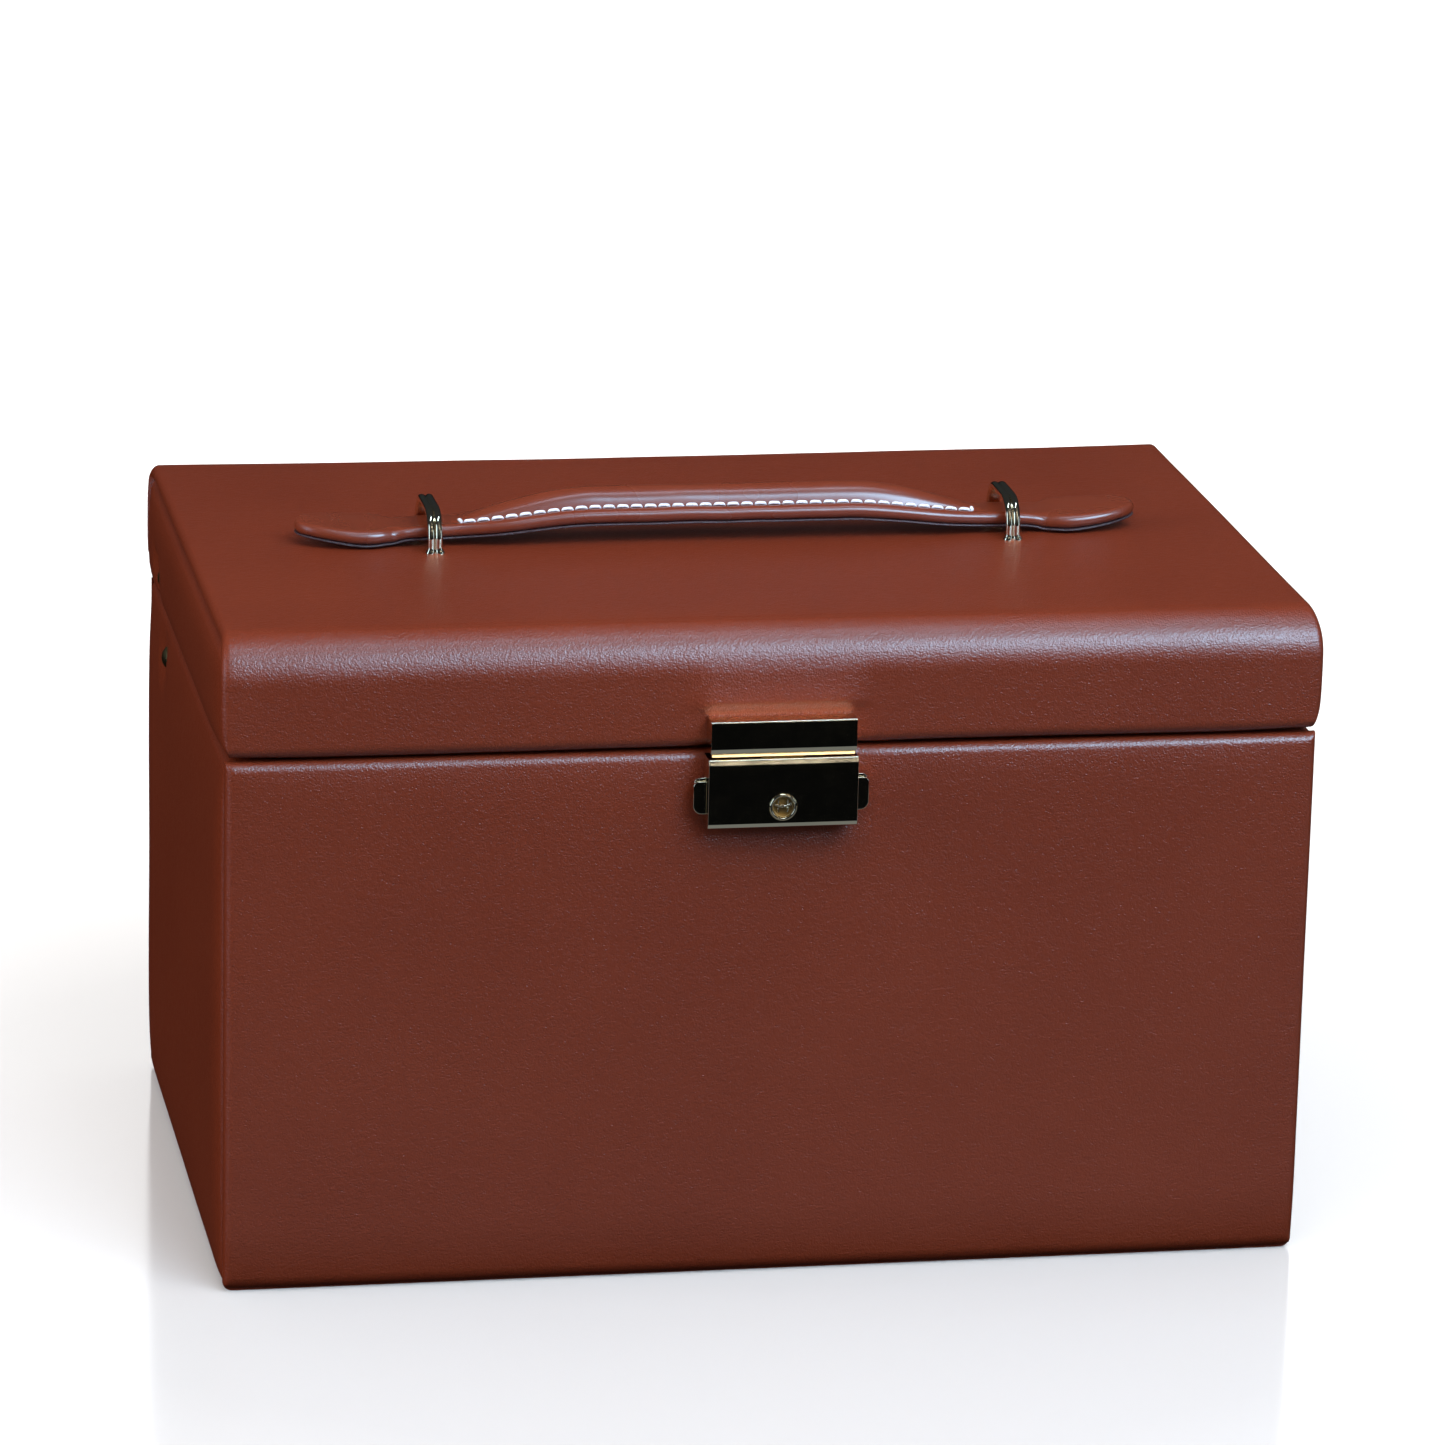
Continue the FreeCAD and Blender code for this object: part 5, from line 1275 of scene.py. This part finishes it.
def velvet_board(name, low, high, material, rim=None, top=None, dip=0.12 * MM):
    """A board wrapped in cloth: rounded rims all round and slightly uneven faces, inside its box."""
    sizes = high - low
    thin = min(range(3), key=lambda axis: sizes[axis])
    a, b = [axis for axis in range(3) if axis != thin]
    half = sizes[thin] / 2
    rim = rim or half
    us = stops(low[a], high[a], rim, rim, 5 * MM, 4)
    vs = stops(low[b], high[b], rim, rim, 5 * MM, 4)
    points, faces = [], []
    for way in (-1, 1):
        for u in us:
            for v in vs:
                inset = min(u - low[a], high[a] - u, v - low[b], high[b] - v)
                drop = half * edge_drop(max(0.0, inset), rim) / rim
                sink = dip * (0.5 + noise.noise(Vector((u * 40, v * 40, way * 7 + low[thin] * 90))))
                point = [0.0, 0.0, 0.0]
                point[a] = u
                point[b] = v if top is None else low[b] + (v - low[b]) * (top(u) - low[b]) / sizes[b]
                sunk = drop + max(0.0, sink) * smooth(inset / rim)
                point[thin] = low[thin] + half + way * max(0.0, half - sunk)
                points.append(tuple(point))
    columns = len(vs)
    count = len(us) * columns
    for i in range(len(us) - 1):
        for j in range(columns - 1):
            quad = (i * columns + j, (i + 1) * columns + j, (i + 1) * columns + j + 1, i * columns + j + 1)
            faces.append(quad)
            faces.append(tuple(count + number for number in reversed(quad)))
    return mesh_object(name, points, faces, material, 60)


def boards_for(node, body, slot, material, fill=None, rim=None, top=None):
    """Wrapped boards in place of every solid of a CAD node."""
    pieces = [
        velvet_board(f"{node}_{number}", low, high, material, rim, top)
        for number, (low, high) in enumerate(solid_boxes(node))
    ]
    finish_piece(joined(f"{node}_cloth", pieces), body, slot, node, fill=fill)


def wall_cloth(node, body):
    """Lining cloth round the four walls, with a soft hem along both rims."""
    low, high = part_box(node)
    thick = high.x - INNER_X if high.x > INNER_X else FOLD
    sheets = [
        (Vector((low.x, low.y, low.z)), Vector((high.x, low.y + thick, high.z))),
        (Vector((low.x, high.y - thick, low.z)), Vector((high.x, high.y, high.z))),
        (Vector((low.x, low.y + thick, low.z)), Vector((low.x + thick, high.y - thick, high.z))),
        (Vector((high.x - thick, low.y + thick, low.z)), Vector((high.x, high.y - thick, high.z))),
    ]
    pieces = [
        velvet_board(f"{node}_{number}", one, two, VELVET, dip=0.08 * MM)
        for number, (one, two) in enumerate(sheets)
    ]
    finish_piece(joined(f"{node}_cloth", pieces), body, "velvet", node)


def mirror_glass():
    """The mirror with a ground bevel round its face, in a padded velvet frame."""
    low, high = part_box("mirror")
    bevel, deep = 7 * MM, 0.5 * MM
    points = []
    for inset, z in ((0, high.z), (0, low.z + deep), (bevel, low.z)):
        points += [(x, y, z) for x, y in (
            (low.x + inset, low.y + inset), (high.x - inset, low.y + inset),
            (high.x - inset, high.y - inset), (low.x + inset, high.y - inset))]
    faces = [(0, 1, 2, 3), (8, 9, 10, 11)]
    for ring in (0, 4):
        faces += [(ring + i, ring + (i + 1) % 4, ring + 4 + (i + 1) % 4, ring + 4 + i) for i in range(4)]
    finish_piece(mesh_object("mirror_bevelled", points, faces, MIRROR_PAINTED_REFLECTION, 1), "lid", "mirror_glass", "mirror")
    panel_low, panel_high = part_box("mirror_panel")
    strips = [
        (Vector((panel_low.x, panel_low.y, panel_low.z)), Vector((panel_high.x, low.y, panel_high.z))),
        (Vector((panel_low.x, high.y, panel_low.z)), Vector((panel_high.x, panel_high.y, panel_high.z))),
        (Vector((panel_low.x, low.y, panel_low.z)), Vector((low.x, high.y, panel_high.z))),
        (Vector((high.x, low.y, panel_low.z)), Vector((panel_high.x, high.y, panel_high.z))),
    ]
    pieces = [
        velvet_board(f"panel_{number}", one, two, VELVET, 1.2 * MM)
        for number, (one, two) in enumerate(strips)
    ]
    finish_piece(joined("mirror_frame", pieces), "lid", "velvet", "mirror_panel", fill=0.6)


def roll_blank(length, radius):
    """A closed roll along x about the origin, its ends drawn in."""
    points, faces = [], []
    sides, steps = 24, 40
    for step in range(steps + 1):
        share = 2 * step / steps - 1
        wide = radius * (1 - 0.35 * abs(share) ** 14)
        for side in range(sides):
            turn = 2 * math.pi * side / sides
            points.append((share * length / 2, wide * math.cos(turn), wide * math.sin(turn)))
    for i in range(steps):
        for j in range(sides):
            k = (j + 1) % sides
            faces.append((i * sides + j, (i + 1) * sides + j, (i + 1) * sides + k, i * sides + k))
    faces.append(tuple(range(sides)))
    faces.append(tuple(steps * sides + j for j in range(sides)))
    return mesh_object("roll_blank", points, faces, VELVET)


def applied(item):
    """The mesh that an object's modifiers give now."""
    bpy.context.view_layer.update()
    return bpy.data.meshes.new_from_object(item.evaluated_get(bpy.context.evaluated_depsgraph_get()))


def swollen_roll(length, radius):
    """One ring roll, blown up as cloth round its stuffing at ten times its size and then scaled back."""
    item = roll_blank(length * ROLL_SCALE, radius * ROLL_SCALE * 0.93)
    remesh = item.modifiers.new("remesh", "REMESH")
    remesh.mode = "VOXEL"
    remesh.voxel_size = 1.5 * MM * ROLL_SCALE
    item.data = applied(item)
    item.modifiers.clear()
    before = [vertex.co.copy() for vertex in item.data.vertices]
    ends = item.vertex_groups.new(name="ends")
    hold = (length / 2 - 1.6 * MM) * ROLL_SCALE
    tied = [number for number, spot in enumerate(before) if abs(spot.x) > hold]
    ends.add(tied, 1.0, "REPLACE")
    cloth = item.modifiers.new("cloth", "CLOTH")
    cloth.settings.use_pressure = True
    cloth.settings.uniform_pressure_force = 600
    cloth.settings.tension_stiffness = 5
    cloth.settings.compression_stiffness = 5
    cloth.settings.effector_weights.gravity = 0
    cloth.settings.vertex_group_mass = "ends"
    for number in range(1, 21):
        bpy.context.scene.frame_set(number)
    item.data = applied(item)
    item.modifiers.clear()
    bpy.context.scene.frame_set(1)
    cap = 0.8 * MM * ROLL_SCALE
    for vertex, spot in zip(item.data.vertices, before):
        shift = vertex.co - spot
        if shift.length > cap:
            shift *= cap / shift.length
        place = spot + shift
        across = math.hypot(place.y, place.z)
        limit = radius * ROLL_SCALE - 0.1 * MM * ROLL_SCALE
        if across > limit:
            place.y *= limit / across
            place.z *= limit / across
        place.x = max(-length / 2 * ROLL_SCALE, min(length / 2 * ROLL_SCALE, place.x))
        vertex.co = place / ROLL_SCALE
    divide = item.modifiers.new("finer", "SUBSURF")
    divide.levels = 1
    divide.render_levels = 1
    item.data = applied(item)
    item.modifiers.clear()
    item.data.shade_smooth()
    return item


def ring_rolls():
    """The row of stuffed rolls that hold rings, all from one swollen roll turned differently."""
    boxes = solid_boxes("ring_rolls")
    low, high = boxes[0]
    pattern = swollen_roll(high.x - low.x, (high.z - low.z) / 2)
    rolls = []
    for number, (low, high) in enumerate(boxes):
        mesh = pattern.data.copy()
        turn = Matrix.Rotation(number * 1.9, 4, "X") @ Matrix.Rotation(math.pi * (number % 2), 4, "Z")
        mesh.transform(Matrix.Translation((low + high) / 2) @ turn)
        roll = bpy.data.objects.new(f"roll_{number}", mesh)
        bpy.context.scene.collection.objects.link(roll)
        rolls.append(roll)
    bpy.data.objects.remove(pattern)
    finish_piece(joined("ring_rolls_stuffed", rolls), "tray", "velvet", "ring_rolls", fill=0.9)


def notch_top(y):
    """Height of a tray end wall along its length, with a finger notch in the middle."""
    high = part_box("tray_end_walls")[1].z
    return high - NOTCH_DEEP * (1 - smooth((abs(y) - NOTCH_HALF + 3 * MM) / (3.5 * MM)))


def inside():
    """Velvet over the floor, walls, dividers, ledges and tray, the felt under the case, and the mirror."""
    boards_for("base_floor_lining", "base", "velvet", VELVET, 0.5, 0.9 * MM)
    boards_for("base_dividers", "base", "velvet", VELVET)
    boards_for("tray_ledges", "base", "velvet", VELVET, None, 1.2 * MM)
    boards_for("tray_floor", "tray", "velvet", VELVET, None, 0.9 * MM)
    boards_for("tray_long_walls", "tray", "velvet", VELVET)
    boards_for("tray_end_walls", "tray", "velvet", VELVET, None, None, notch_top)
    boards_for("tray_dividers", "tray", "velvet", VELVET)
    boards_for("base_bottom_cover", "base", "felt", FELT, None, 0.45 * MM)
    wall_cloth("base_wall_lining", "base")
    wall_cloth("lid_wall_lining", "lid")
    mirror_glass()
    ring_rolls()


# --- CAD nodes that keep their shape ---

SIDE_RIVETS = ("base_stay_rivets", "lid_stay_rivets")
METALS = (GOLD, SATIN_GOLD, RIVET_BRASS, KEYWAY_BRASS_PAINTED_SHADE, STEEL, MIRROR_PAINTED_REFLECTION)
MATERIALS = {
    "case_leather": LEATHER, "strap_leather": STRAP_LEATHER, "gold_brass": GOLD, "steel": STEEL,
    "velvet": VELVET, "felt": FELT, "board": BOARD, "mirror_glass": MIRROR_PAINTED_REFLECTION, "thread": THREAD,
}


def dress_nodes():
    """Give every carried-over CAD node its material, and ease the sharp edges of the metal ones."""
    slots = {part["node"]: part["material_slot"] for part in frame["record"]["subparts"]}
    for name, item in frame["nodes"].items():
        item.data.materials.clear()
        item.data.materials.append(RIVET_BRASS if name in SIDE_RIVETS else MATERIALS[slots[name]])
        if slots[name] in ("gold_brass", "steel") and not name.startswith("tab_spring"):
            eased(item, 0.12 * MM, 35, 2)


def springs():
    """The release tabs' springs: smooth-shaded copies of their CAD coils, fastened to the base."""
    for side, sign in SIDES:
        node = f"tab_spring_{side}"
        mesh = frame["nodes"][node].data.copy()
        mesh.shade_smooth()
        coil = bpy.data.objects.new(f"coil_{side}", mesh)
        bpy.context.scene.collection.objects.link(coil)
        finish_piece(coil, "base", "steel", node)
        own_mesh(coil)


def link_lights():
    """Cool softboxes for all but the metal, a warm one for the metal, and no back light on the floor."""
    metals = [
        item for item in bpy.data.objects
        if item.type == "MESH" and item.data.materials and item.data.materials[0] in METALS
    ]
    not_metal = link_group("not_metal", metals, "EXCLUDE")
    for name in ("key_gloss", "key_right", "left_gloss"):
        bpy.data.objects[name].light_linking.receiver_collection = not_metal
    metal_only = link_group("metal_only", metals, "INCLUDE")
    bpy.data.objects["metal_gloss"].light_linking.receiver_collection = metal_only
    not_floor = link_group("not_floor", [bpy.data.objects["floor"]], "EXCLUDE")
    bpy.data.objects["back_fill"].light_linking.receiver_collection = not_floor


make_camera()
make_studio()
dress_nodes()
base_shell()
lid_wrap()
lid_side_pads()
handle()
hasp()
lock()
inside()
springs()
link_lights()
